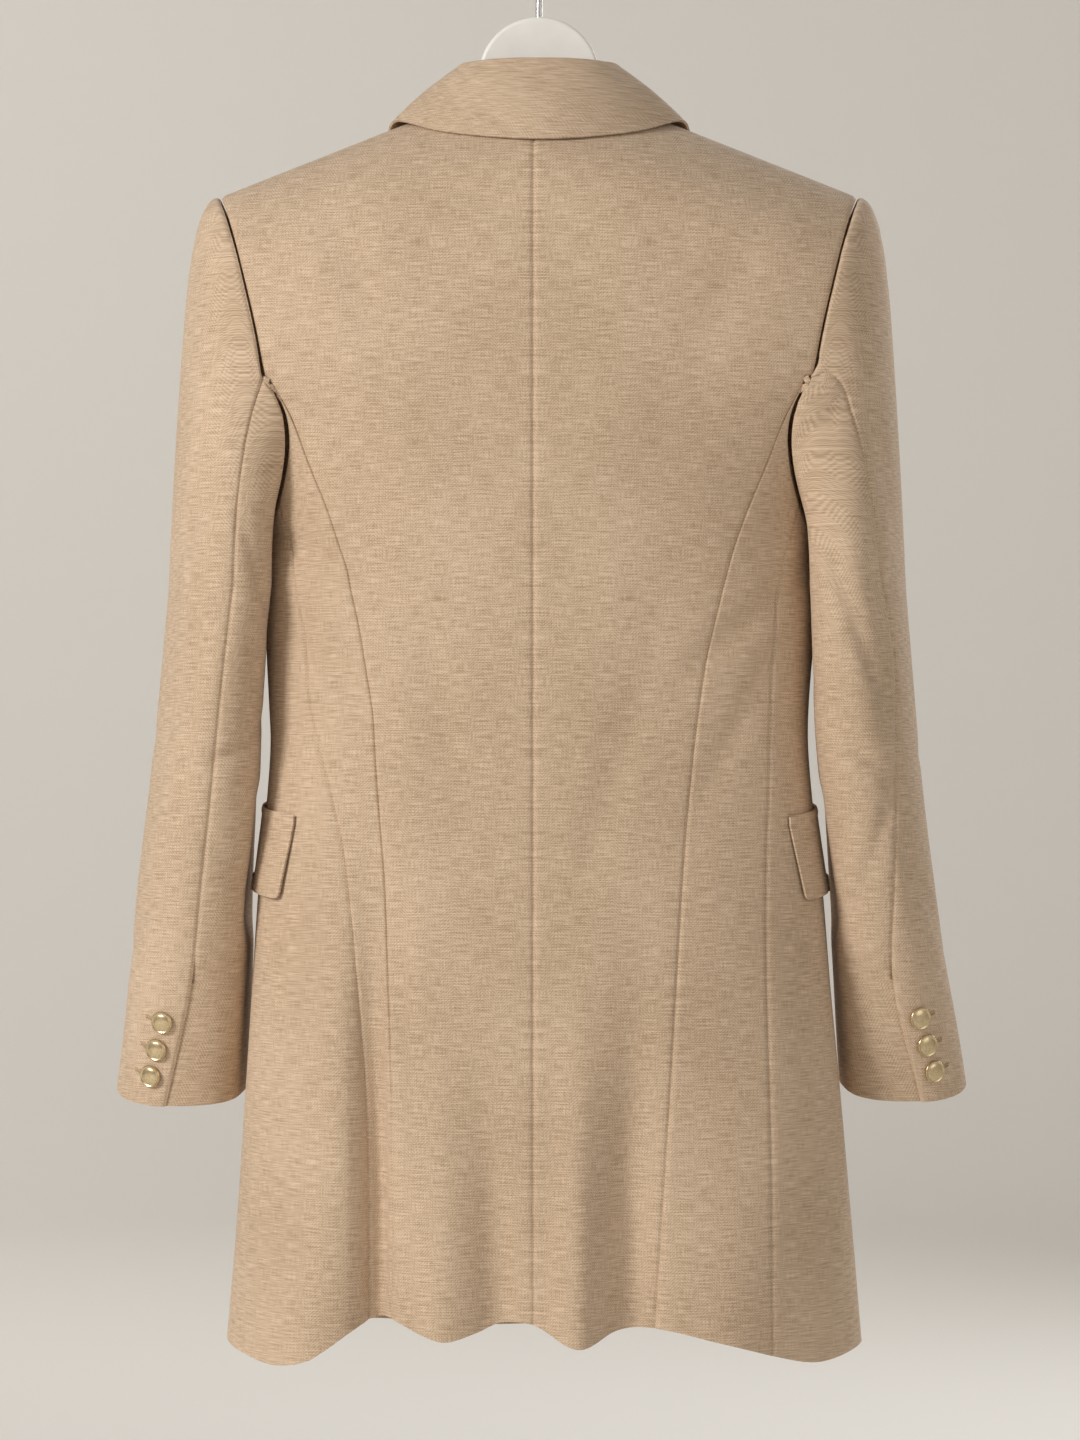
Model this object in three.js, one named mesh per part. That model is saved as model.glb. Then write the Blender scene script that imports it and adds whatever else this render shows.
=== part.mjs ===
// Long-line double-breasted blazer hung on a shaped hanger.
// Millimetres, +Z up. Origin: the inside top of the hook, where it bears on a rail.
// The fronts face -Y, the back faces +Y, the wearer's left is +X.
import * as THREE from 'three';

// ---------- sizes ----------
const CLOTH = 1.6;            // made-up thickness of the body cloth
const TRIM = 1.4;             // made-up thickness of flaps and welts
const SEAM_TRIM = 0.3;        // each piece stops this short of its seam line
const SLEEVE_TRIM = 0.7;     // and a sleeve piece this short
const LAY_GAP = 0.35;         // space between a laid piece and the one under it
const SECTION_POWER = 2.3;    // how square the plan section is, 2 is an ellipse
const SHOULDER_X = 209;       // shoulder point, from the centre
const NECK_X = 78;            // side neck point
const NECK_Z = -141.7;
const SHOULDER_FALL = 0.395;  // drop of the shoulder seam for each mm outwards
const SHOULDER_ROLL = 72;     // height over which the sheets close onto the shoulder seam
const JOIN_Z = -317;          // where the back curved seam leaves the armhole
const SIDE_TOP_Z = -398;      // top of the side seam
const UNDERARM_Z = -420;
const TUCK = 6.2;             // the under front lies this far behind the upper one
const BREAK_Z = -446;         // where the lapel starts to turn
const FRONT_EDGE = 72;        // each front edge lies this far past the centre
const CENTRE_BACK_X = 3.5;
const HANGER_DEPTH = 14;
const DOME_RADIUS = 40;
const DOME_Z = -115;
const HOOK_RADIUS = 16;       // inside radius of the hook
const WIRE = 4.4;
const CUFF_BUTTON = 15;
const FRONT_BUTTON = 21;

// ---------- the garment's own tables ----------
// Plan section of the body at each level: half width on each side, depth behind and in front.
const BODY = [
  { z: -100, left: 262, right: 262, back: 52, front: 62 },
  { z: -145, left: 260, right: 260, back: 63, front: 76 },
  { z: -175, left: 258, right: 258, back: 78, front: 86 },
  { z: -210, left: 256, right: 256, back: 88, front: 92 },
  { z: -250, left: 252, right: 252, back: 94, front: 96 },
  { z: -285, left: 247, right: 247, back: 97, front: 98 },
  { z: -317, left: 236, right: 236, back: 98, front: 99 },
  { z: -344, left: 204, right: 204, back: 97, front: 99 },
  { z: -372, left: 188, right: 188, back: 95, front: 98 },
  { z: -398, left: 181, right: 181, back: 93, front: 97 },
  { z: -420, left: 180, right: 180, back: 92, front: 96 },
  { z: -453, left: 181, right: 182, back: 91, front: 94 },
  { z: -486, left: 180, right: 181, back: 89, front: 91 },
  { z: -527, left: 178, right: 178, back: 86, front: 87 },
  { z: -555, left: 177, right: 177.5, back: 85, front: 85 },
  { z: -598, left: 180, right: 181, back: 87, front: 86 },
  { z: -650, left: 185, right: 187, back: 91, front: 90 },
  { z: -712, left: 189, right: 192, back: 95, front: 95 },
  { z: -776, left: 193, right: 198, back: 99, front: 99 },
  { z: -867, left: 199, right: 206, back: 103, front: 104 },
  { z: -950, left: 206, right: 213, back: 106, front: 108 },
];
// The front sheet is cut away more at the armhole, so its section runs wider above it.
const FRONT_WIDTH = [
  { z: -100, half: 262 },
  { z: -200, half: 256 },
  { z: -250, half: 249 },
  { z: -300, half: 236 },
  { z: -345, half: 212 },
  { z: -385, half: 190 },
  { z: -410, half: 182 },
  { z: -420, half: 180 },
];
// Armhole edge of the back, from the shoulder point to the curved seam.
const BACK_ARMHOLE = [
  { z: -194.5, x: 209 },
  { z: -208, x: 203.5 },
  { z: -230, x: 196.5 },
  { z: -255, x: 190 },
  { z: -285, x: 183 },
  { z: -317, x: 177 },
];
// Armhole edge of the front.
const FRONT_ARMHOLE = [
  { z: -194.5, x: 209 },
  { z: -215, x: 200 },
  { z: -250, x: 185 },
  { z: -300, x: 170 },
  { z: -345, x: 165 },
  { z: -385, x: 169 },
  { z: -410, x: 175.5 },
  { z: -420, x: 179.4 },
];
// Curved back seams and side seams: distance from the centre on each side.
const CURVED_SEAM = [
  { z: -317, left: 177, right: 174 },
  { z: -326, left: 170, right: 168.5 },
  { z: -344, left: 160, right: 159 },
  { z: -372, left: 149.5, right: 148 },
  { z: -404, left: 136.5, right: 134.5 },
  { z: -431, left: 128, right: 125 },
  { z: -474, left: 117, right: 114 },
  { z: -504, left: 112, right: 108 },
  { z: -534, left: 108, right: 103 },
  { z: -583, left: 104.4, right: 97.6 },
  { z: -640, left: 100.5, right: 92.8 },
  { z: -692, left: 98.5, right: 89.5 },
  { z: -768, left: 96, right: 85 },
  { z: -855, left: 96.2, right: 79.2 },
  { z: -930, left: 98.7, right: 74.5 },
];
const SIDE_SEAM = [
  { z: -398, left: 170, right: 170 },
  { z: -430, left: 162, right: 161 },
  { z: -472, left: 155, right: 154 },
  { z: -537, left: 147, right: 150 },
  { z: -588, left: 134, right: 148.5 },
  { z: -622, left: 126.5, right: 147 },
  { z: -686, left: 119, right: 146.5 },
  { z: -789, left: 113.5, right: 147.8 },
  { z: -930, left: 113, right: 148.8 },
];
// Neck and lapel edge of the left front; the right front mirrors it.
const NECK_EDGE = [
  { z: -141.7, x: 78 },
  { z: -150, x: 74.5 },
  { z: -162, x: 68 },
  { z: -178, x: 58 },
  { z: -446, x: -72 },
];
// Folds that fall to the hem: place across at the top and at the hem, width, depth, start.
const BACK_FOLDS = [
  { topX: 128, hemX: 150, width: 30, depth: 11, startZ: -620 },
  { topX: 107, hemX: 109, width: 12, depth: -21, startZ: -600 },
  { topX: 66, hemX: 60, width: 20, depth: 10, startZ: -740 },
  { topX: 30, hemX: 26, width: 15, depth: -8, startZ: -780 },
  { topX: -24, hemX: -24, width: 16, depth: 11, startZ: -700 },
  { topX: -60, hemX: -60, width: 17, depth: -12, startZ: -640 },
  { topX: -118, hemX: -118, width: 28, depth: 7, startZ: -740 },
];
const FRONT_FOLDS = [
  { topX: 150, hemX: 158, width: 22, depth: 8, startZ: -640 },
  { topX: 122, hemX: 120, width: 18, depth: -9, startZ: -660 },
  { topX: 20, hemX: 14, width: 26, depth: -5, startZ: -760 },
  { topX: -118, hemX: -122, width: 19, depth: -9, startZ: -650 },
  { topX: -152, hemX: -160, width: 24, depth: 8, startZ: -640 },
];
// Height of the hem across the back, then across the front.
const BACK_HEM = [
  { x: 206, z: -944 },
  { x: 190, z: -949 },
  { x: 165, z: -953 },
  { x: 142, z: -948 },
  { x: 124, z: -933 },
  { x: 110, z: -922 },
  { x: 92, z: -923 },
  { x: 72, z: -931 },
  { x: 58, z: -934 },
  { x: 40, z: -929 },
  { x: 24, z: -923 },
  { x: 3.5, z: -924 },
  { x: -24, z: -938 },
  { x: -50, z: -929 },
  { x: -74, z: -927 },
  { x: -110, z: -936 },
  { x: -148, z: -946 },
  { x: -180, z: -953 },
  { x: -213, z: -946 },
];
const FRONT_HEM = [
  { x: 206, z: -944 },
  { x: 158, z: -952 },
  { x: 120, z: -944 },
  { x: 70, z: -950 },
  { x: 0, z: -949 },
  { x: -70, z: -950 },
  { x: -122, z: -944 },
  { x: -160, z: -951 },
  { x: -213, z: -946 },
];
// Sleeve sections: outer and inner reach, centre and half depth, plan turn, forward lean (degrees).
const SLEEVE_LEFT = [
  { z: -450, outer: 246, inner: 173, midY: 4, depth: 70, turn: 12, lean: 0 },
  { z: -540, outer: 254, inner: 181.5, midY: 2, depth: 65, turn: 11, lean: 2 },
  { z: -592, outer: 260, inner: 183, midY: -3, depth: 60, turn: 10, lean: 5 },
  { z: -645, outer: 266.6, inner: 186, midY: -10, depth: 55, turn: 9, lean: 8 },
  { z: -698, outer: 272, inner: 188.5, midY: -18, depth: 50, turn: 7, lean: 11 },
  { z: -750, outer: 278, inner: 191.5, midY: -27, depth: 46, turn: 5, lean: 13 },
  { z: -782, outer: 282.5, inner: 193.5, midY: -33, depth: 44, turn: 4, lean: 14 },
];
const SLEEVE_RIGHT = [
  { z: -450, outer: 244, inner: 176, midY: 4, depth: 70, turn: 12, lean: 0 },
  { z: -540, outer: 251, inner: 180.5, midY: 2, depth: 65, turn: 11, lean: 2 },
  { z: -592, outer: 256, inner: 185, midY: -3, depth: 60, turn: 10, lean: 5 },
  { z: -645, outer: 263, inner: 189, midY: -10, depth: 55, turn: 9, lean: 8 },
  { z: -698, outer: 271, inner: 194, midY: -18, depth: 50, turn: 7, lean: 11 },
  { z: -750, outer: 281, inner: 198, midY: -27, depth: 46, turn: 5, lean: 13 },
  { z: -779, outer: 286, inner: 200.5, midY: -33, depth: 44, turn: 4, lean: 14 },
];
// Place of the sleeve's two long seams round the section, degrees from the outside.
const SLEEVE_SEAMS = [
  { down: 0, leftHind: 91, rightHind: 91, fore: 236 },
  { down: 0.25, leftHind: 88, rightHind: 60, fore: 236 },
  { down: 0.42, leftHind: 86, rightHind: 34, fore: 235 },
  { down: 0.55, leftHind: 86, rightHind: 40, fore: 234 },
  { down: 0.72, leftHind: 86, rightHind: 66, fore: 232 },
  { down: 0.85, leftHind: 86, rightHind: 83, fore: 230 },
  { down: 1, leftHind: 76, rightHind: 75, fore: 230 },
];
const VENT_TOP = 0.845;       // share of the sleeve's length where the cuff vent opens
const VENT_LAP = 15;          // degrees the under side runs on beneath the vent edge
// Collar: where it is sewn, its fold and its free edge, from centre back round to its end.
const COLLAR = [
  { seam: [0, 46.5, -144.6], fold: [0, 39, -107], edgeX: 0, edgeZ: -163.5 },
  { seam: [27, 43, -144.2], fold: [22, 36.5, -107], edgeX: 34, edgeZ: -161 },
  { seam: [54, 31, -142.6], fold: [40, 26, -107.5], edgeX: 66, edgeZ: -155 },
  { seam: [74, 5, -139.6], fold: [50, 5, -108], edgeX: 93, edgeY: 17 },
  { seam: [71.5, -27, -146.5], fold: [53, -18, -119], edgeX: 100, edgeY: -15 },
  { seam: [68.5, -38, -153], fold: [54, -30, -129], edgeX: 100, edgeY: -35 },
  { seam: [65, -48, -160], fold: [54, -43, -142], edgeX: 97.5, edgeZ: -176 },
  { seam: [60, -60, -169], fold: [53, -60, -160], edgeX: 86, edgeZ: -197 },
];
// Lapel: its fold line is the neck edge; this is its free edge from the peak to the break.
const LAPEL_EDGE = [
  { down: 0, x: 121, z: -190 },
  { down: 0.08, x: 118, z: -207 },
  { down: 0.25, x: 106, z: -252 },
  { down: 0.5, x: 68, z: -330 },
  { down: 0.75, x: 11, z: -394 },
  { down: 1, x: -71, z: -447 },
];
// Pockets: rear end and front end round the body (degrees from centre back), heights.
const POCKETS = [
  { side: 1, rear: 59, front: 118, rearZ: -600, frontZ: -588 },
  { side: -1, rear: 61, front: 118, rearZ: -601, frontZ: -589 },
];
const WELT_HEIGHT = 5.6;
const FLAP_HEIGHT = 50;
const CUFF_BUTTON_DOWN = [0.893, 0.928, 0.962];
const CUFF_BUTTON_BACK = 19;  // degrees from the vent edge to each button's centre
const FRONT_BUTTONS = [
  { z: -472, lift: 1 },
  { z: -560, lift: 1.5 },
  { z: -648, lift: 0.7 },
];
const FRONT_BUTTON_X = 48;

// ---------- materials ----------
function paint(name, color, roughness, metalness) {
  const material = new THREE.MeshStandardMaterial({ color, roughness, metalness });
  material.name = name;
  return material;
}
const cloth = paint('suiting_cloth', 0xc8a983, 0.92, 0);
const brass = paint('button_metal', 0xb89a63, 0.35, 0.9);
const white = paint('hanger_paint', 0xece9e4, 0.4, 0);
const steel = paint('hook_steel', 0x9a9a98, 0.3, 1);

// ---------- small maths ----------
const RAD = Math.PI / 180;
const clamp = (value, low, high) => Math.min(high, Math.max(low, value));
const mix = (a, b, t) => a + (b - a) * t;
const soft = (t) => {
  const c = clamp(t, 0, 1);
  return c * c * (3 - 2 * c);
};

// A smooth curve through the rows of a table: value of one column against another.
function curve(rows, key, column) {
  const sorted = [...rows].sort((p, q) => p[key] - q[key]);
  const xs = sorted.map((row) => row[key]);
  const ys = sorted.map((row) => row[column]);
  const last = xs.length - 1;
  const slope = (i) => {
    const low = Math.max(0, i - 1);
    const high = Math.min(last, i + 1);
    return (ys[high] - ys[low]) / (xs[high] - xs[low]);
  };
  return (x) => {
    if (x <= xs[0]) return ys[0];
    if (x >= xs[last]) return ys[last];
    let i = 0;
    while (x > xs[i + 1]) i += 1;
    const h = xs[i + 1] - xs[i];
    const t = (x - xs[i]) / h;
    const a = 2 * t ** 3 - 3 * t ** 2 + 1;
    const b = t ** 3 - 2 * t ** 2 + t;
    const c = -2 * t ** 3 + 3 * t ** 2;
    const d = t ** 3 - t ** 2;
    return a * ys[i] + b * h * slope(i) + c * ys[i + 1] + d * h * slope(i + 1);
  };
}

// ---------- the body surface ----------
const halfLeft = curve(BODY, 'z', 'left');
const halfRight = curve(BODY, 'z', 'right');
const depthBack = curve(BODY, 'z', 'back');
const depthFront = curve(BODY, 'z', 'front');
const frontHalf = curve(FRONT_WIDTH, 'z', 'half');
const hemBack = curve(BACK_HEM, 'x', 'z');
const hemFront = curve(FRONT_HEM, 'x', 'z');
const ridge = (x) => NECK_Z - SHOULDER_FALL * (Math.abs(x) - NECK_X);

// Half width of the section at a level, for one side and one sheet.
function halfWidth(side, z, isFront) {
  if (isFront && z > UNDERARM_Z) return frontHalf(z);
  return side > 0 ? halfLeft(z) : halfRight(z);
}

// How far the cloth stands out at a fold.
function foldOut(x, z, isFront, fade) {
  const rows = isFront ? FRONT_FOLDS : BACK_FOLDS;
  let out = 0;
  for (const fold of rows) {
    const down = clamp((fold.startZ - z) / (fold.startZ + 940), 0, 1.05);
    const centre = mix(fold.topX, fold.hemX, down);
    const across = (x - centre) / (fold.width * mix(0.8, 1, down));
    out += fold.depth * down ** 1.25 * Math.exp(-across * across);
  }
  return out * fade;
}

// A point of the body: angle round from centre back (positive to the wearer's left), level,
// and distance out from the surface.
function bodyPoint(angle, z, out = 0) {
  const sine = Math.sin(angle);
  const cosine = Math.cos(angle);
  const side = sine >= 0 ? 1 : -1;
  const isFront = cosine < 0;
  const half = halfWidth(side, z, isFront);
  const depth = isFront ? depthFront(z) : depthBack(z);
  const power = 2 / SECTION_POWER;
  const x = side * half * Math.abs(sine) ** power;
  const reach = depth * Math.abs(cosine) ** power;
  const close = clamp((ridge(x) - z) / SHOULDER_ROLL, 0, 1);
  const y = (isFront ? -1 : 1) * reach * Math.sqrt(1 - (1 - close) ** 2);
  const fade = soft(Math.abs(cosine) * 3);
  const away = foldOut(x, z, isFront, fade) + out;
  const nx = x / (half * half);
  const ny = y / (depth * depth);
  const length = Math.hypot(nx, ny) || 1;
  return new THREE.Vector3(x + (nx / length) * away, y + (ny / length) * away, z);
}

// The angle whose surface point lies at a given distance across.
function angleAt(x, z, isFront) {
  const side = x >= 0 ? 1 : -1;
  const half = halfWidth(side, z, isFront);
  const share = clamp(Math.abs(x) / half, 0, 1) ** (SECTION_POWER / 2);
  const angle = Math.asin(share);
  return side * (isFront ? Math.PI - angle : angle);
}

// ---------- solids from surfaces ----------
function meshOf(name, corners, faces, material) {
  const geometry = new THREE.BufferGeometry();
  geometry.setAttribute('position', new THREE.Float32BufferAttribute(corners.flat(), 3));
  geometry.setIndex(faces.flat());
  geometry.computeVertexNormals();
  const mesh = new THREE.Mesh(geometry, material);
  mesh.name = name;
  return mesh;
}

// A cloth panel: a grid of points on a surface, given thickness, with its edges drawn in by
// its trim. `has` says which cells of the grid are cloth.
function panel(name, surface, across, down, options = {}) {
  const thick = options.thick ?? CLOTH;
  const has = options.has ?? (() => true);
  const inwards = options.inwards ?? 1;
  const trim = options.trim ?? SEAM_TRIM;
  const columns = across.length - 1;
  const rows = down.length - 1;
  const step = 1e-3;
  const points = [];
  const normals = [];
  for (let i = 0; i <= columns; i += 1) {
    points.push([]);
    normals.push([]);
    for (let j = 0; j <= rows; j += 1) {
      const s = across[i];
      const v = down[j];
      const here = surface(s, v);
      const left = surface(Math.max(across[0], s - step), v);
      const right = surface(Math.min(across[columns], s + step), v);
      const above = surface(s, Math.max(down[0], v - step));
      const below = surface(s, Math.min(down[rows], v + step));
      const normal = right.sub(left).cross(below.sub(above)).normalize();
      points[i].push(here);
      normals[i].push(normal.multiplyScalar(inwards));
    }
  }
  const inside = (i, j) => i >= 0 && j >= 0 && i < columns && j < rows && has(i, j);
  const pull = points.map((column) => column.map(() => new THREE.Vector3()));
  const rim = [];
  const draw = (a, b, c, d) => {
    // a-b is an open edge, c-d the far side of its cell
    const [pa, pb, pc, pd] = [a, b, c, d].map(([i, j]) => points[i][j]);
    const inward = pc.clone().add(pd).sub(pa).sub(pb);
    const along = pb.clone().sub(pa).normalize();
    inward.addScaledVector(along, -inward.dot(along));
    if (inward.lengthSq() < 1e-12) return;
    inward.normalize();
    pull[a[0]][a[1]].add(inward);
    pull[b[0]][b[1]].add(inward);
    rim.push([a, b]);
  };
  const cells = [];
  for (let i = 0; i < columns; i += 1) {
    for (let j = 0; j < rows; j += 1) {
      if (!inside(i, j)) continue;
      const p = [i, j];
      const q = [i + 1, j];
      const r = [i + 1, j + 1];
      const t = [i, j + 1];
      cells.push([p, q, r, t]);
      if (!inside(i, j - 1)) draw(p, q, r, t);
      if (!inside(i + 1, j)) draw(q, r, t, p);
      if (!inside(i, j + 1)) draw(r, t, p, q);
      if (!inside(i - 1, j)) draw(t, p, q, r);
    }
  }
  const corners = [];
  const index = new Map();
  const corner = (i, j, layer) => {
    const key = `${i}/${j}/${layer}`;
    if (!index.has(key)) {
      const shift = pull[i][j].clone();
      const size = Math.max(1, shift.length());
      const at = points[i][j].clone().addScaledVector(shift, trim / size);
      if (layer) at.addScaledVector(normals[i][j], thick);
      index.set(key, corners.length);
      corners.push(at.toArray());
    }
    return index.get(key);
  };
  const faces = [];
  const quad = (a, b, c, d) => {
    if (inwards < 0) faces.push([a, b, c], [a, c, d]);
    else faces.push([a, c, b], [a, d, c]);
  };
  for (const [p, q, r, t] of cells) {
    quad(corner(...p, 0), corner(...q, 0), corner(...r, 0), corner(...t, 0));
    quad(corner(...t, 1), corner(...r, 1), corner(...q, 1), corner(...p, 1));
  }
  for (const [a, b] of rim) {
    quad(corner(...b, 0), corner(...a, 0), corner(...a, 1), corner(...b, 1));
  }
  return meshOf(name, corners, faces, options.material ?? cloth);
}

const spread = (count, low = 0, high = 1) =>
  Array.from({ length: count + 1 }, (_, i) => mix(low, high, i / count));

const group = new THREE.Group();
group.name = 'double_breasted_blazer';

// ---------- back, side and front panels ----------
const backArmhole = curve(BACK_ARMHOLE, 'z', 'x');
const frontArmhole = curve(FRONT_ARMHOLE, 'z', 'x');
const neckEdge = curve(NECK_EDGE, 'z', 'x');
const curvedSeam = { 1: curve(CURVED_SEAM, 'z', 'left'), [-1]: curve(CURVED_SEAM, 'z', 'right') };
const sideSeam = { 1: curve(SIDE_SEAM, 'z', 'left'), [-1]: curve(SIDE_SEAM, 'z', 'right') };
const SHOULDER_Z = ridge(SHOULDER_X);
const HEM_LEVEL = -930;       // where the seams are read to find the hem below them
// Rows of the panels: drops below the shoulder point, then levels below the armhole join.
const ARMHOLE_DROPS = [0, 2.5, 9, 24, 50, 85];
const LEVELS = [JOIN_Z, -350, -390, -430, -475, -515, -555, -600, -650, -705, -765, -825, -885];

// Hem height below a point of the body.
function hemAt(angle) {
  const isFront = Math.cos(angle) < 0;
  const side = Math.sin(angle) >= 0 ? 1 : -1;
  const x = side * halfWidth(side, HEM_LEVEL, isFront) * Math.abs(Math.sin(angle)) ** (2 / SECTION_POWER);
  return isFront ? hemFront(x) : hemBack(x);
}

function backTop(x) {
  if (Math.abs(x) >= NECK_X) return ridge(x);
  const share = Math.abs(x) / NECK_X;
  return NECK_Z - 4.3 * (1 - share ** 4);
}

const joinHem = (side) => hemBack(side * curvedSeam[side](HEM_LEVEL));
function backRows(side) {
  const low = joinHem(side);
  const levels = [...ARMHOLE_DROPS.map((drop) => SHOULDER_Z - drop), ...LEVELS, low];
  return levels.map((z) => (SHOULDER_Z - z) / (SHOULDER_Z - low));
}
function sideRows(side) {
  const low = joinHem(side);
  return [...LEVELS, low].map((z) => (JOIN_Z - z) / (JOIN_Z - low));
}

function backSurface(side) {
  return (s, v) => {
    const centre = side * CENTRE_BACK_X;
    const top = backTop(mix(centre, SHOULDER_X, s));
    const low = hemBack(side * mix(centre, curvedSeam[side](HEM_LEVEL), s));
    const edgeZ = mix(SHOULDER_Z, joinHem(side), v);
    const edge = edgeZ > JOIN_Z ? backArmhole(edgeZ) : curvedSeam[side](edgeZ);
    const z = mix(top, low, v);
    return bodyPoint(angleAt(side * mix(centre, edge, s), z, false), z);
  };
}
for (const side of [1, -1]) {
  const name = side > 0 ? 'back_left' : 'back_right';
  const neckShare = (NECK_X - side * CENTRE_BACK_X) / (SHOULDER_X - side * CENTRE_BACK_X);
  const across = [0, neckShare / 2, neckShare, mix(neckShare, 1, 0.34), mix(neckShare, 1, 0.67), 1];
  group.add(panel(name, backSurface(side), across, backRows(side), { inwards: -side }));
}

// Side panels: from the curved seam to the side seam.
function sideSurface(side) {
  return (s, v) => {
    const top = mix(JOIN_Z, SIDE_TOP_Z, s ** 0.85);
    const low = hemBack(side * mix(curvedSeam[side](HEM_LEVEL), sideSeam[side](HEM_LEVEL), s));
    const z = mix(top, low, v);
    const from = angleAt(side * curvedSeam[side](z), z, false);
    const to = angleAt(side * sideSeam[side](z), z, false);
    return bodyPoint(mix(from, to, s), z);
  };
}
for (const side of [1, -1]) {
  const name = side > 0 ? 'side_left' : 'side_right';
  group.add(panel(name, sideSurface(side), spread(4), sideRows(side), { inwards: -side }));
}

// Fronts: under the arm from the side seam, then up past the armhole to the shoulder.
const UNDER_COLUMNS = 4;
const FRONT_COLUMNS = 13;
const UPPER_ROWS = 7;
const UNDER_ANGLE = 95 * RAD;
const upperRows = [0, 0.012, 0.06, 0.16, 0.33, 0.56, 0.78];
const frontRows = (side) => [...upperRows, ...sideRows(side).map((v) => 1 + v)];

function frontTuck(side, x, z) {
  // the left front lies under the right one
  if (side < 0) return 0;
  const under = soft((FRONT_EDGE + 32 - x) / 26);
  return -TUCK * under * soft((-Math.abs(x) * 2 - 150 - z) / 60 + 1);
}
function lowerFront(side, s, v) {
  // s runs 0..1 below the armhole and 1..2 across the front, v runs 0..1 down to the hem
  const top = s < 1 ? mix(SIDE_TOP_Z, UNDERARM_Z, Math.sin((s * Math.PI) / 2))
    : mix(UNDERARM_Z, BREAK_Z, (s - 1) ** 1.5);
  const angleOn = (z) => {
    const from = Math.abs(angleAt(side * sideSeam[side](z), z, false));
    const to = 2 * Math.PI - Math.abs(angleAt(-side * FRONT_EDGE, z, true));
    return s < 1 ? mix(from, UNDER_ANGLE, s) : mix(UNDER_ANGLE, to, s - 1);
  };
  const z = mix(top, hemAt(side * angleOn(HEM_LEVEL)), v);
  const angle = angleOn(z);
  const x = bodyPoint(side * angle, z).x * side;
  return bodyPoint(side * angle, z, frontTuck(side, x, z));
}
function upperFront(side, s, v) {
  // s runs 1..2 from armhole to neck edge, v runs 0..1 from the shoulder to the underarm
  const share = s - 1;
  const topX = mix(SHOULDER_X, NECK_X, share);
  const low = lowerFront(side, s, 0);
  const armZ = mix(SHOULDER_Z, UNDERARM_Z, v);
  const edgeZ = mix(NECK_Z, BREAK_Z, v);
  const lowShare = (low.x * side - frontArmhole(UNDERARM_Z))
    / (neckEdge(BREAK_Z) - frontArmhole(UNDERARM_Z));
  const place = mix(share, lowShare, v);
  const x = mix(frontArmhole(armZ), neckEdge(edgeZ), place);
  const z = mix(ridge(topX), low.z, v);
  return bodyPoint(angleAt(side * x, z, true), z, frontTuck(side, x, z));
}
function frontSurface(side) {
  return (s, v) => (v >= 1 ? lowerFront(side, s, v - 1) : upperFront(side, Math.max(1, s), v));
}
for (const side of [1, -1]) {
  const name = side > 0 ? 'front_left' : 'front_right';
  const across = [...spread(UNDER_COLUMNS), ...spread(FRONT_COLUMNS - UNDER_COLUMNS, 1, 2).slice(1)];
  const has = (i, j) => j >= UPPER_ROWS || i >= UNDER_COLUMNS;
  group.add(panel(name, frontSurface(side), across, frontRows(side), { has, inwards: -side }));
}

// ---------- lapels ----------
function layOut(side, x, z, out) {
  return bodyPoint(angleAt(side * x, z, true), z, out);
}
const lapelX = curve(LAPEL_EDGE, 'down', 'x');
const lapelZ = curve(LAPEL_EDGE, 'down', 'z');
function lapelSurface(side) {
  return (s, v) => {
    const foldZ = mix(-177, BREAK_Z, v);
    const foldX = neckEdge(foldZ) - 0.4;
    const notch = (1 - v) ** 5 * Math.sin(Math.PI * Math.min(1, s * 1.05)) * 19;
    const x = mix(foldX, lapelX(v), s);
    const z = mix(foldZ, lapelZ(v), s) - notch;
    const lift = 4.6 * Math.exp(-(((s - 0.16) / 0.22) ** 2)) * soft((0.36 - v) / 0.2);
    return layOut(side, x, z, frontTuck(side, x, z) + CLOTH + LAY_GAP + 1.8 + lift);
  };
}
for (const side of [1, -1]) {
  const name = side > 0 ? 'lapel_left' : 'lapel_right';
  const rows = [0, 0.05, 0.13, 0.25, 0.38, 0.52, 0.66, 0.8, 0.92, 1];
  group.add(panel(name, lapelSurface(side), [0.02, 0.16, 0.4, 0.7, 1], rows,
    { inwards: side }));
}

// ---------- collar ----------
const collarPath = (pick) => {
  const half = COLLAR.map(pick);
  const whole = [...half.slice(1).reverse().map(([x, y, z]) => [-x, y, z]), ...half];
  return new THREE.CatmullRomCurve3(whole.map((p) => new THREE.Vector3(...p)), false, 'centripetal');
};
const EDGE_LIFT = CLOTH + 2;
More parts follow.
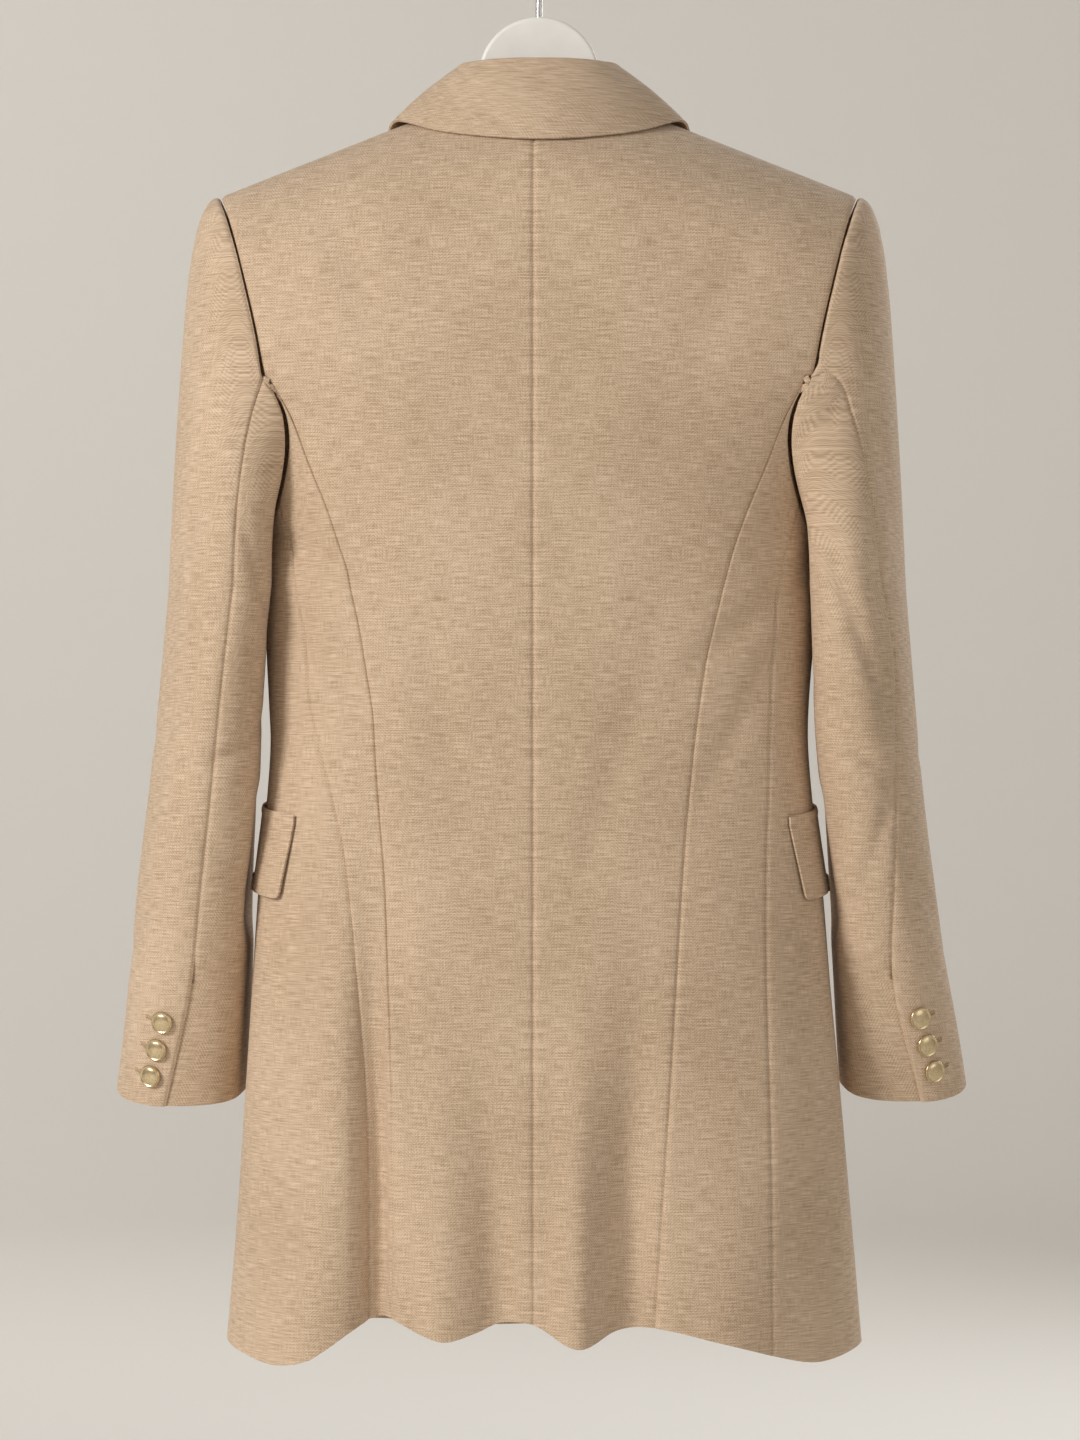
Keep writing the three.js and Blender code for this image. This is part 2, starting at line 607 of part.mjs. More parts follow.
// The free edge lies on the shoulders: by its level on the sheets, by its depth over the seam.
const collarEdge = COLLAR.map(({ edgeX, edgeY, edgeZ }, i) => {
  const isFront = i > 3;
  if (edgeY === undefined) {
    return bodyPoint(angleAt(edgeX, edgeZ, isFront), edgeZ, EDGE_LIFT).toArray();
  }
  const top = ridge(edgeX);
  const reach = Math.abs(bodyPoint(angleAt(edgeX, top - SHOULDER_ROLL, isFront), top - SHOULDER_ROLL).y);
  const close = 1 - Math.sqrt(1 - (edgeY / reach) ** 2);
  return [edgeX, edgeY, top - close * SHOULDER_ROLL + EDGE_LIFT + 0.8];
});
const seamPath = collarPath((row) => row.seam);
const foldPath = collarPath((row) => row.fold);
const edgePath = collarPath((_, i) => collarEdge[i]);
const FOLD_ROUND = 2.6;
function collarSurface(u, w) {
  const seam = seamPath.getPoint(u);
  const fold = foldPath.getPoint(u);
  const edge = edgePath.getPoint(u);
  const outward = edge.clone().sub(seam).setZ(0);
  const inUp = seam.clone().sub(fold);
  const outUp = edge.clone().sub(fold);
  const bisect = inUp.clone().normalize().add(outUp.clone().normalize()).normalize();
  const across = outward.addScaledVector(bisect, -outward.dot(bisect)).normalize();
  const centre = fold.clone().addScaledVector(bisect, FOLD_ROUND);
  if (w > 0.38 && w < 0.62) {
    const turn = mix(-90, 90, (w - 0.38) / 0.24) * RAD;
    return centre.addScaledVector(across, Math.sin(turn) * FOLD_ROUND)
      .addScaledVector(bisect, -Math.cos(turn) * FOLD_ROUND);
  }
  if (w <= 0.38) {
    const start = centre.addScaledVector(across, -FOLD_ROUND);
    return seam.lerp(start, w / 0.38);
  }
  const start = centre.addScaledVector(across, FOLD_ROUND);
  const t = (w - 0.62) / 0.38;
  const belly = Math.sin(Math.PI * t) * 1.8;
  return start.lerp(edge, t).addScaledVector(across, belly);
}
group.add(panel('collar', collarSurface, spread(22), [0, 0.19, 0.38, 0.44, 0.5, 0.56, 0.62, 0.75, 0.88, 1],
  { inwards: -1 }));

// ---------- sleeves ----------
// The armhole, read off the edges of the panels it is sewn to: shoulder point, down the back,
// across the bottom, up the front.
function armholeLoop(side) {
  const points = [];
  const back = backSurface(side);
  const under = sideSurface(side);
  for (const v of backRows(side).slice(0, ARMHOLE_DROPS.length + 1)) points.push(back(1, v));
  const backPoint = points.length - 1;
  for (const s of spread(4).slice(1)) points.push(under(s, 0));
  for (const s of spread(UNDER_COLUMNS).slice(1)) points.push(lowerFront(side, s, 0));
  const bottom = points.length - 1;
  for (const v of [...upperRows].reverse()) points.push(upperFront(side, 1, v));
  const lengths = [0];
  for (let i = 1; i < points.length; i += 1) {
    lengths.push(lengths[i - 1] + points[i].distanceTo(points[i - 1]));
  }
  const total = lengths[lengths.length - 1];
  const anchors = [0, lengths[backPoint], lengths[bottom],
    lengths[bottom] + (total - lengths[bottom]) * 0.5, total];
  return (degrees) => {
    const turn = ((degrees % 360) + 360) % 360;
    const quarter = Math.min(3, Math.floor(turn / 90));
    const want = mix(anchors[quarter], anchors[quarter + 1], turn / 90 - quarter);
    let i = 0;
    while (i < lengths.length - 2 && lengths[i + 1] < want) i += 1;
    const t = (want - lengths[i]) / (lengths[i + 1] - lengths[i]);
    return points[i].clone().lerp(points[i + 1], clamp(t, 0, 1));
  };
}

function sleeveMaker(side) {
  const table = side > 0 ? SLEEVE_LEFT : SLEEVE_RIGHT;
  const read = {};
  for (const key of ['outer', 'inner', 'midY', 'depth', 'turn', 'lean']) {
    read[key] = curve(table, 'z', key);
  }
  const loop = armholeLoop(side);
  const topZ = table[0].z;
  const endZ = table[table.length - 1].z;
  const HEAD = 0.36;          // share of the sleeve's run that is shaped by the armhole
  // a point of the tube at a level: degrees from the outside, turning to the back
  const ring = (degrees, level) => {
    const turn = read.turn(level) * RAD;
    const deep = read.depth(level);
    const reach = (read.outer(level) - read.inner(level)) / 2;
    const middle = (read.outer(level) + read.inner(level)) / 2;
    const wide = Math.sqrt(Math.max(1, reach ** 2 - (deep * Math.sin(turn)) ** 2)) / Math.cos(turn);
    const a = degrees * RAD;
    const px = wide * Math.sign(Math.cos(a)) * Math.abs(Math.cos(a)) ** 0.92;
    const py = deep * Math.sign(Math.sin(a)) * Math.abs(Math.sin(a)) ** 0.92;
    let x = middle + px * Math.cos(turn) - py * Math.sin(turn);
    const y = read.midY(level) + px * Math.sin(turn) + py * Math.cos(turn);
    const z = level - (y - read.midY(level)) * Math.tan(read.lean(level) * RAD);
    // keep clear of the body and of the pocket flap
    const half = side > 0 ? halfLeft(z) : halfRight(z);
    const depth = y > 0 ? depthBack(z) : depthFront(z);
    const within = clamp(1 - (Math.abs(y) / depth) ** SECTION_POWER, 0, 1);
    const flap = 5 * soft((-572 - z) / 20) * soft((z + 690) / 25);
    const wall = half * within ** (1 / SECTION_POWER) + 3.4 + flap;
    const over = x - wall;
    x = wall + (over + Math.sqrt(over * over + 36)) / 2 - 1.2;
    return new THREE.Vector3(side * x, y, z);
  };
  const surface = (degrees, v, inward = 0) => {
    const at = (turn, down) => {
      if (down >= HEAD) return ring(turn, mix(topZ, endZ, (down - HEAD) / (1 - HEAD)));
      const t = down / HEAD;
      const start = loop(turn);
      const end = ring(turn, topZ);
      const fall = start.z - end.z;
      const outer = Math.max(0, Math.cos(turn * RAD));
      const away = new THREE.Vector3(side * (2.2 + 3 * outer), 0, 0);
      start.add(new THREE.Vector3(side * 1.3, 2.1 * Math.max(0, Math.sin(turn * RAD)), 0.3 * outer));
      const first = start.clone().add(away.multiplyScalar(1 + 3.2 * outer))
        .add(new THREE.Vector3(0, (end.y - start.y) * 0.12, -0.1 * fall * (1 - outer)));
      const second = end.clone().add(new THREE.Vector3(-side * 7 * outer, 0, fall * 0.68));
      return new THREE.CubicBezierCurve3(start, first, second, end).getPoint(t);
    };
    const here = at(degrees, v);
    if (inward === 0) return here;
    const along = at(degrees, Math.min(1, v + 0.002)).sub(at(degrees, Math.max(0, v - 0.002)));
    const round = at(degrees + 0.5, v).sub(at(degrees - 0.5, v));
    const normal = along.cross(round).normalize().multiplyScalar(side);
    return here.addScaledVector(normal, inward);
  };
  return surface;
}

const hindSeam = {
  1: curve(SLEEVE_SEAMS, 'down', 'leftHind'),
  [-1]: curve(SLEEVE_SEAMS, 'down', 'rightHind'),
};
const foreSeam = curve(SLEEVE_SEAMS, 'down', 'fore');
const sleeveRows = [0, 0.03, 0.08, 0.15, 0.24, 0.36, 0.45, 0.54, 0.63, 0.72, VENT_TOP - 0.04, VENT_TOP,
  0.89, 0.945, 1];
const sleeves = {};
for (const side of [1, -1]) {
  const where = side > 0 ? 'left' : 'right';
  const sleeve = sleeveMaker(side);
  sleeves[side] = sleeve;
  // The top side runs from the fore seam over the outside to the hind seam.
  const topSide = (s, v) => sleeve(mix(foreSeam(v) - 360, hindSeam[side](v), s), v);
  group.add(panel(`top_sleeve_${where}`, topSide, spread(11), sleeveRows,
    { trim: SLEEVE_TRIM, inwards: side }));
  // The under side runs on beneath the vent edge; s below 0 is that lap.
  const underSide = (s, v) => {
    const hind = hindSeam[side](v);
    const turn = s < 0 ? hind + s * VENT_LAP : mix(hind, foreSeam(v), s);
    const tuck = soft((v - VENT_TOP + 0.04) / 0.04) * soft((0.42 - s) / 0.42);
    return sleeve(turn, v, -(CLOTH + LAY_GAP + 0.6) * tuck);
  };
  const ventRow = sleeveRows.indexOf(VENT_TOP);
  group.add(panel(`under_sleeve_${where}`, underSide, [-1, 0, 0.12, 0.28, 0.46, 0.64, 0.82, 1], sleeveRows,
    { has: (i, j) => i > 0 || j >= ventRow, trim: SLEEVE_TRIM, inwards: side }));
}

// ---------- pockets ----------
for (const pocket of POCKETS) {
  const where = pocket.side > 0 ? 'left' : 'right';
  const lay = (s, drop, out) => {
    const angle = mix(pocket.rear, pocket.front, s) * RAD;
    const z = mix(pocket.rearZ, pocket.frontZ, s) - drop;
    return bodyPoint(pocket.side * angle, z, out);
  };
  const weltOut = TRIM + LAY_GAP + 0.8;
  const inwards = -pocket.side;
  group.add(panel(`pocket_welt_${where}`, (s, v) => lay(s, v * WELT_HEIGHT, weltOut),
    spread(7), [0, 1], { thick: TRIM, inwards }));
  const flap = (s, v) => {
    const edge = Math.min(s, 1 - s) * 90;
    const corner = 5 * (1 - Math.sqrt(1 - (1 - clamp(edge / 5, 0, 1)) ** 2)) * v;
    const lean = 3.4 * v * (s < 0.5 ? 1 : -0.6) / 60;
    return lay(s + lean, WELT_HEIGHT + v * (FLAP_HEIGHT - corner), weltOut + 1.2 * v);
  };
  group.add(panel(`pocket_flap_${where}`, flap, [0, 0.055, 0.2, 0.36, 0.52, 0.68, 0.84, 0.945, 1],
    [0, 0.35, 0.7, 1], { thick: TRIM, inwards }));
}

// ---------- buttons ----------
// A domed shank button with a raised rim, its back face at the given point.
function button(name, at, outward, diameter) {
  const r = diameter / 2;
  const profile = [
    [0, 0], [r * 0.86, 0], [r * 0.98, r * 0.09], [r, r * 0.2], [r * 0.93, r * 0.31],
    [r * 0.8, r * 0.27], [r * 0.55, r * 0.33], [r * 0.25, r * 0.38], [0, r * 0.4],
  ];
  const shape = profile.map(([x, y]) => new THREE.Vector2(x, y));
  const geometry = new THREE.LatheGeometry(shape, 12);
  const turn = new THREE.Quaternion().setFromUnitVectors(new THREE.Vector3(0, 1, 0), outward);
  geometry.applyQuaternion(turn);
  geometry.translate(at.x, at.y, at.z);
  const mesh = new THREE.Mesh(geometry, brass);
  mesh.name = name;
  group.add(mesh);
}
for (const side of [1, -1]) {
  const where = side > 0 ? 'left' : 'right';
  CUFF_BUTTON_DOWN.forEach((down, i) => {
    const turn = hindSeam[side](down) - CUFF_BUTTON_BACK;
    const on = sleeves[side](turn, down);
    const off = sleeves[side](turn, down, 1);
    const outward = off.clone().sub(on).normalize();
    button(`cuff_button_${where}_${i + 1}`, on.addScaledVector(outward, 0.3), outward, CUFF_BUTTON);
  });
}
FRONT_BUTTONS.forEach(({ z, lift }, row) => {
  for (const column of [1, -1]) {
    const where = column > 0 ? 'left' : 'right';
    const on = layOut(1, column * FRONT_BUTTON_X, z, 0);
    const outward = layOut(1, column * FRONT_BUTTON_X, z, 1).sub(on).normalize();
    button(`front_button_${where}_${row + 1}`, on.addScaledVector(outward, lift), outward, FRONT_BUTTON);
  }
});

// ---------- hanger and hook ----------
const HANGER_TIP = 197;
const HANGER_DROP = CLOTH + 1.25;
const topLine = (x) => ridge(x) - HANGER_DROP;
const outline = new THREE.Shape();
const domeSide = 41;
outline.moveTo(0, -176);
outline.quadraticCurveTo(60, -178, 110, -194);
outline.quadraticCurveTo(160, -209, HANGER_TIP - 8, -222);
outline.quadraticCurveTo(HANGER_TIP + 3, -222, HANGER_TIP + 2, -208);
outline.quadraticCurveTo(HANGER_TIP + 2, topLine(HANGER_TIP) - 1, HANGER_TIP - 8, topLine(HANGER_TIP - 8));
outline.lineTo(80, topLine(80));
outline.quadraticCurveTo(domeSide + 6, topLine(76), domeSide + 0.5, topLine(50) + 7);
outline.quadraticCurveTo(DOME_RADIUS + 0.5, DOME_Z - 4, DOME_RADIUS, DOME_Z);
outline.absarc(0, DOME_Z, DOME_RADIUS, 0, Math.PI, false);
outline.quadraticCurveTo(-DOME_RADIUS - 0.5, DOME_Z - 4, -domeSide - 0.5, topLine(50) + 7);
outline.quadraticCurveTo(-domeSide - 6, topLine(76), -80, topLine(80));
outline.lineTo(-HANGER_TIP + 8, topLine(HANGER_TIP - 8));
outline.quadraticCurveTo(-HANGER_TIP - 2, topLine(HANGER_TIP) - 1, -HANGER_TIP - 2, -208);
outline.quadraticCurveTo(-HANGER_TIP - 3, -222, -HANGER_TIP + 8, -222);
outline.quadraticCurveTo(-160, -209, -110, -194);
outline.quadraticCurveTo(-60, -178, 0, -176);
const BEVEL = 2.4;
const hangerBody = new THREE.ExtrudeGeometry(outline, {
  depth: HANGER_DEPTH - 2 * BEVEL,
  bevelEnabled: true,
  bevelThickness: BEVEL,
  bevelSize: BEVEL,
  bevelOffset: -BEVEL,
  bevelSegments: 1,
  curveSegments: 5,
});
hangerBody.translate(0, 0, -HANGER_DEPTH / 2 + BEVEL);
hangerBody.rotateX(Math.PI / 2);
const hanger = new THREE.Mesh(hangerBody, white);
hanger.name = 'hanger';
group.add(hanger);

// The wire rises from the dome, swings out and turns over the rail.
function tube(name, path, radius, sides, steps, material) {
  const corners = [];
  const faces = [];
  const side = new THREE.Vector3(0, 1, 0);
  for (let i = 0; i <= steps; i += 1) {
    const centre = path.getPointAt(i / steps);
    const ahead = path.getTangentAt(i / steps);
    const other = ahead.clone().cross(side).normalize();
    for (let k = 0; k < sides; k += 1) {
      const turn = (k / sides) * 2 * Math.PI;
      corners.push(centre.clone().addScaledVector(side, Math.cos(turn) * radius)
        .addScaledVector(other, Math.sin(turn) * radius).toArray());
    }
  }
  for (let i = 0; i < steps; i += 1) {
    for (let k = 0; k < sides; k += 1) {
      const a = i * sides + k;
      const b = i * sides + ((k + 1) % sides);
      faces.push([a, a + sides, b], [b, a + sides, b + sides]);
    }
  }
  const first = corners.push(path.getPointAt(0).toArray()) - 1;
  const end = corners.push(path.getPointAt(1).toArray()) - 1;
  for (let k = 0; k < sides; k += 1) {
    const next = (k + 1) % sides;
    faces.push([first, k, next], [end, steps * sides + next, steps * sides + k]);
  }
  return meshOf(name, corners, faces.map(([a, b, c]) => [a, c, b]), material);
}
const wireTurn = HOOK_RADIUS + WIRE / 2;
const hookPoints = [[0, -74.7], [0, -66], [0, -57], [3.2, -48.5], [10.5, -39.5], [15.6, -31]];
for (const degrees of [-28, -12, 6, 24, 42, 60, 78, 96, 114, 132, 150, 168, 186, 204]) {
  const turn = degrees * RAD;
  hookPoints.push([wireTurn * Math.cos(turn), -HOOK_RADIUS + wireTurn * Math.sin(turn)]);
}
const hookPath = new THREE.CatmullRomCurve3(hookPoints.map(([x, z]) => new THREE.Vector3(x, 0, z)),
  false, 'centripetal');
group.add(tube('hook', hookPath, WIRE / 2, 8, 36, steel));

export default group;
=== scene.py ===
# Long-line double-breasted blazer on a shaped hanger: cloth, buttons, hanger, stage and light.
# The surfaces are worked out in millimetres and stored in metres, in the frame of the CAD part.
import math
import bpy
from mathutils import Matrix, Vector


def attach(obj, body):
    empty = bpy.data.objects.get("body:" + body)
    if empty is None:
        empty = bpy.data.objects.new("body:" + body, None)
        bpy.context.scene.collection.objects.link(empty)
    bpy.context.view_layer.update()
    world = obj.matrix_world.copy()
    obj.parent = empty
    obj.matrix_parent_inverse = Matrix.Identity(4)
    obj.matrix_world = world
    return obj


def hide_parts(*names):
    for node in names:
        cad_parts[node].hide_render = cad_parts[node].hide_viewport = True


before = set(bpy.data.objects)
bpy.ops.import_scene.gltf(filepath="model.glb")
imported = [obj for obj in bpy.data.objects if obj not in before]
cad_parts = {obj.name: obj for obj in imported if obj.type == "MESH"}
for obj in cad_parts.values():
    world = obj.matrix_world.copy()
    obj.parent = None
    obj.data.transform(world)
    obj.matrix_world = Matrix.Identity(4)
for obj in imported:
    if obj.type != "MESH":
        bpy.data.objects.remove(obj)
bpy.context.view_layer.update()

MM = 0.001

# ---------- sizes ----------
CLOTH = 1.6
TRIM = 1.4
LAY_GAP = 0.35
POWER = 2.3
SHOULDER_X = 209
NECK_X = 78
NECK_Z = -141.7
SHOULDER_FALL = 0.395
SHOULDER_ROLL = 72
JOIN_Z = -317
SIDE_TOP_Z = -398
UNDERARM_Z = -420
TUCK = 6.2
BREAK_Z = -446
FRONT_EDGE = 72
CENTRE_BACK_X = 3.5
HANGER_DEPTH = 14
DOME_RADIUS = 40
DOME_Z = -115
HOOK_RADIUS = 16
WIRE = 4.4
CUFF_BUTTON = 15
FRONT_BUTTON = 21
VENT_TOP = 0.845
VENT_LAP = 15
WELT_HEIGHT = 5.6
FLAP_HEIGHT = 50
CUFF_BUTTON_DOWN = [0.893, 0.928, 0.962]
CUFF_BUTTON_BACK = 19
FRONT_BUTTON_X = 48
HEM_LEVEL = -930
HANGER_TIP = 197
FINE = 3.4            # size of the cloth's mesh cells
GROOVE = 1.3          # how deep a seam sinks
GROOVE_WIDTH = 1.5

# ---------- the garment's tables ----------
BODY = [
    dict(z=-100, left=262, right=262, back=52, front=62),
    dict(z=-145, left=260, right=260, back=63, front=76),
    dict(z=-175, left=258, right=258, back=78, front=86),
    dict(z=-210, left=256, right=256, back=88, front=92),
    dict(z=-250, left=252, right=252, back=94, front=96),
    dict(z=-285, left=247, right=247, back=97, front=98),
    dict(z=-317, left=236, right=236, back=98, front=99),
    dict(z=-344, left=204, right=204, back=97, front=99),
    dict(z=-372, left=188, right=188, back=95, front=98),
    dict(z=-398, left=181, right=181, back=93, front=97),
    dict(z=-420, left=180, right=180, back=92, front=96),
    dict(z=-453, left=181, right=182, back=91, front=94),
    dict(z=-486, left=180, right=181, back=89, front=91),
    dict(z=-527, left=178, right=178, back=86, front=87),
    dict(z=-555, left=177, right=177.5, back=85, front=85),
    dict(z=-598, left=180, right=181, back=87, front=86),
    dict(z=-650, left=185, right=187, back=91, front=90),
    dict(z=-712, left=189, right=192, back=95, front=95),
    dict(z=-776, left=193, right=198, back=99, front=99),
    dict(z=-867, left=199, right=206, back=103, front=104),
    dict(z=-950, left=206, right=213, back=106, front=108),
]
FRONT_WIDTH = [
    dict(z=-100, half=262),
    dict(z=-200, half=256),
    dict(z=-250, half=249),
    dict(z=-300, half=236),
    dict(z=-345, half=212),
    dict(z=-385, half=190),
    dict(z=-410, half=182),
    dict(z=-420, half=180),
]
BACK_ARMHOLE = [
    dict(z=-194.5, x=209),
    dict(z=-208, x=203.5),
    dict(z=-230, x=196.5),
    dict(z=-255, x=190),
    dict(z=-285, x=183),
    dict(z=-317, x=177),
]
FRONT_ARMHOLE = [
    dict(z=-194.5, x=209),
    dict(z=-215, x=200),
    dict(z=-250, x=185),
    dict(z=-300, x=170),
    dict(z=-345, x=165),
    dict(z=-385, x=169),
    dict(z=-410, x=175.5),
    dict(z=-420, x=179.4),
]
CURVED_SEAM = [
    dict(z=-317, left=177, right=174),
    dict(z=-326, left=170, right=168.5),
    dict(z=-344, left=160, right=159),
    dict(z=-372, left=149.5, right=148),
    dict(z=-404, left=136.5, right=134.5),
    dict(z=-431, left=128, right=125),
    dict(z=-474, left=117, right=114),
    dict(z=-504, left=112, right=108),
    dict(z=-534, left=108, right=103),
    dict(z=-583, left=104.4, right=97.6),
    dict(z=-640, left=100.5, right=92.8),
    dict(z=-692, left=98.5, right=89.5),
    dict(z=-768, left=96, right=85),
    dict(z=-855, left=96.2, right=79.2),
    dict(z=-930, left=98.7, right=74.5),
]
SIDE_SEAM = [
    dict(z=-398, left=170, right=170),
    dict(z=-430, left=162, right=161),
    dict(z=-472, left=155, right=154),
    dict(z=-537, left=147, right=150),
    dict(z=-588, left=134, right=148.5),
    dict(z=-622, left=126.5, right=147),
    dict(z=-686, left=119, right=146.5),
    dict(z=-789, left=113.5, right=147.8),
    dict(z=-930, left=113, right=148.8),
]
NECK_EDGE = [
    dict(z=-141.7, x=78),
    dict(z=-150, x=74.5),
    dict(z=-162, x=68),
    dict(z=-178, x=58),
    dict(z=-446, x=-72),
]
BACK_FOLDS = [
    dict(topX=128, hemX=150, width=30, depth=11, startZ=-620),
    dict(topX=107, hemX=109, width=12, depth=-21, startZ=-600),
    dict(topX=66, hemX=60, width=20, depth=10, startZ=-740),
    dict(topX=30, hemX=26, width=15, depth=-8, startZ=-780),
    dict(topX=-24, hemX=-24, width=16, depth=11, startZ=-700),
    dict(topX=-60, hemX=-60, width=17, depth=-12, startZ=-640),
    dict(topX=-118, hemX=-118, width=28, depth=7, startZ=-740),
]
FRONT_FOLDS = [
    dict(topX=150, hemX=158, width=22, depth=8, startZ=-640),
    dict(topX=122, hemX=120, width=18, depth=-9, startZ=-660),
    dict(topX=20, hemX=14, width=26, depth=-5, startZ=-760),
    dict(topX=-118, hemX=-122, width=19, depth=-9, startZ=-650),
    dict(topX=-152, hemX=-160, width=24, depth=8, startZ=-640),
]
BACK_HEM = [
    dict(x=206, z=-944),
    dict(x=190, z=-949),
    dict(x=165, z=-953),
    dict(x=142, z=-948),
    dict(x=124, z=-933),
    dict(x=110, z=-922),
    dict(x=92, z=-923),
    dict(x=72, z=-931),
    dict(x=58, z=-934),
    dict(x=40, z=-929),
    dict(x=24, z=-923),
    dict(x=3.5, z=-924),
    dict(x=-24, z=-938),
    dict(x=-50, z=-929),
    dict(x=-74, z=-927),
    dict(x=-110, z=-936),
    dict(x=-148, z=-946),
    dict(x=-180, z=-953),
    dict(x=-213, z=-946),
]
FRONT_HEM = [
    dict(x=206, z=-944),
    dict(x=158, z=-952),
    dict(x=120, z=-944),
    dict(x=70, z=-950),
    dict(x=0, z=-949),
    dict(x=-70, z=-950),
    dict(x=-122, z=-944),
    dict(x=-160, z=-951),
    dict(x=-213, z=-946),
]
SLEEVE_LEFT = [
    dict(z=-450, outer=246, inner=173, midY=4, depth=70, turn=12, lean=0),
    dict(z=-540, outer=254, inner=181.5, midY=2, depth=65, turn=11, lean=2),
    dict(z=-592, outer=260, inner=183, midY=-3, depth=60, turn=10, lean=5),
    dict(z=-645, outer=266.6, inner=186, midY=-10, depth=55, turn=9, lean=8),
    dict(z=-698, outer=272, inner=188.5, midY=-18, depth=50, turn=7, lean=11),
    dict(z=-750, outer=278, inner=191.5, midY=-27, depth=46, turn=5, lean=13),
    dict(z=-782, outer=282.5, inner=193.5, midY=-33, depth=44, turn=4, lean=14),
]
SLEEVE_RIGHT = [
    dict(z=-450, outer=244, inner=176, midY=4, depth=70, turn=12, lean=0),
    dict(z=-540, outer=251, inner=180.5, midY=2, depth=65, turn=11, lean=2),
    dict(z=-592, outer=256, inner=185, midY=-3, depth=60, turn=10, lean=5),
    dict(z=-645, outer=263, inner=189, midY=-10, depth=55, turn=9, lean=8),
    dict(z=-698, outer=271, inner=194, midY=-18, depth=50, turn=7, lean=11),
    dict(z=-750, outer=281, inner=198, midY=-27, depth=46, turn=5, lean=13),
    dict(z=-779, outer=286, inner=200.5, midY=-33, depth=44, turn=4, lean=14),
]
SLEEVE_SEAMS = [
    dict(down=0, leftHind=91, rightHind=91, fore=236),
    dict(down=0.25, leftHind=88, rightHind=60, fore=236),
    dict(down=0.42, leftHind=86, rightHind=34, fore=235),
    dict(down=0.55, leftHind=86, rightHind=40, fore=234),
    dict(down=0.72, leftHind=86, rightHind=66, fore=232),
    dict(down=0.85, leftHind=86, rightHind=83, fore=230),
    dict(down=1, leftHind=76, rightHind=75, fore=230),
]
LAPEL_EDGE = [
    dict(down=0, x=121, z=-190),
    dict(down=0.08, x=118, z=-207),
    dict(down=0.25, x=106, z=-252),
    dict(down=0.5, x=68, z=-330),
    dict(down=0.75, x=11, z=-394),
    dict(down=1, x=-71, z=-447),
]
COLLAR = [
    dict(seam=[0, 46.5, -144.6], fold=[0, 39, -107], edgeX=0, edgeZ=-163.5),
    dict(seam=[27, 43, -144.2], fold=[22, 36.5, -107], edgeX=34, edgeZ=-161),
    dict(seam=[54, 31, -142.6], fold=[40, 26, -107.5], edgeX=66, edgeZ=-155),
    dict(seam=[74, 5, -139.6], fold=[50, 5, -108], edgeX=93, edgeY=17),
    dict(seam=[71.5, -27, -146.5], fold=[53, -18, -119], edgeX=100, edgeY=-15),
    dict(seam=[68.5, -38, -153], fold=[54, -30, -129], edgeX=100, edgeY=-35),
    dict(seam=[65, -48, -160], fold=[54, -43, -142], edgeX=97.5, edgeZ=-176),
    dict(seam=[60, -60, -169], fold=[53, -60, -160], edgeX=86, edgeZ=-197),
]
POCKETS = [
    dict(side=1, rear=59, front=118, rearZ=-600, frontZ=-588),
    dict(side=-1, rear=61, front=118, rearZ=-601, frontZ=-589),
]
FRONT_BUTTONS = [
    dict(z=-472, lift=1),
    dict(z=-560, lift=1.5),
    dict(z=-648, lift=0.7),
]

# Soft creases of the body cloth: middle, lean, length and half width, depth (in is negative).
BODY_CREASES = [
    dict(sheet="back", x=150, z=-430, lean=-62, length=60, width=9, depth=-3.2),
    dict(sheet="back", x=138, z=-505, lean=-40, length=70, width=11, depth=-2.6),
    dict(sheet="back", x=-140, z=-470, lean=48, length=75, width=10, depth=-3.0),
    dict(sheet="back", x=-128, z=-545, lean=28, length=60, width=9, depth=-2.0),
    dict(sheet="back", x=60, z=-545, lean=-12, length=80, width=15, depth=-2.0),
    dict(sheet="back", x=-52, z=-560, lean=16, length=90, width=14, depth=-2.4),
    dict(sheet="back", x=118, z=-250, lean=-20, length=60, width=14, depth=-1.8),
    dict(sheet="back", x=-120, z=-262, lean=24, length=60, width=14, depth=-2.0),
    dict(sheet="back", x=30, z=-205, lean=-75, length=52, width=10, depth=-1.2),
    dict(sheet="back", x=92, z=-700, lean=-8, length=110, width=10, depth=-2.4),
    dict(sheet="back", x=106, z=-815, lean=-4, length=125, width=9, depth=-5.0),
    dict(sheet="back", x=124, z=-815, lean=-4, length=125, width=9, depth=3.0),
    dict(sheet="back", x=-58, z=-850, lean=5, length=105, width=14, depth=-3.4),
    dict(sheet="back", x=30, z=-860, lean=-3, length=95, width=14, depth=-3.2),
    dict(sheet="back", x=-24, z=-850, lean=2, length=105, width=13, depth=2.6),
    dict(sheet="back", x=-150, z=-820, lean=8, length=110, width=22, depth=2.6),
    dict(sheet="front", x=140, z=-500, lean=40, length=60, width=12, depth=-2.4),
    dict(sheet="front", x=-138, z=-505, lean=-38, length=64, width=12, depth=-2.6),
    dict(sheet="front", x=100, z=-330, lean=-30, length=60, width=13, depth=-1.8),
    dict(sheet="front", x=-104, z=-338, lean=26, length=60, width=13, depth=-1.8),
    dict(sheet="front", x=0, z=-700, lean=10, length=120, width=20, depth=-2.0),
]
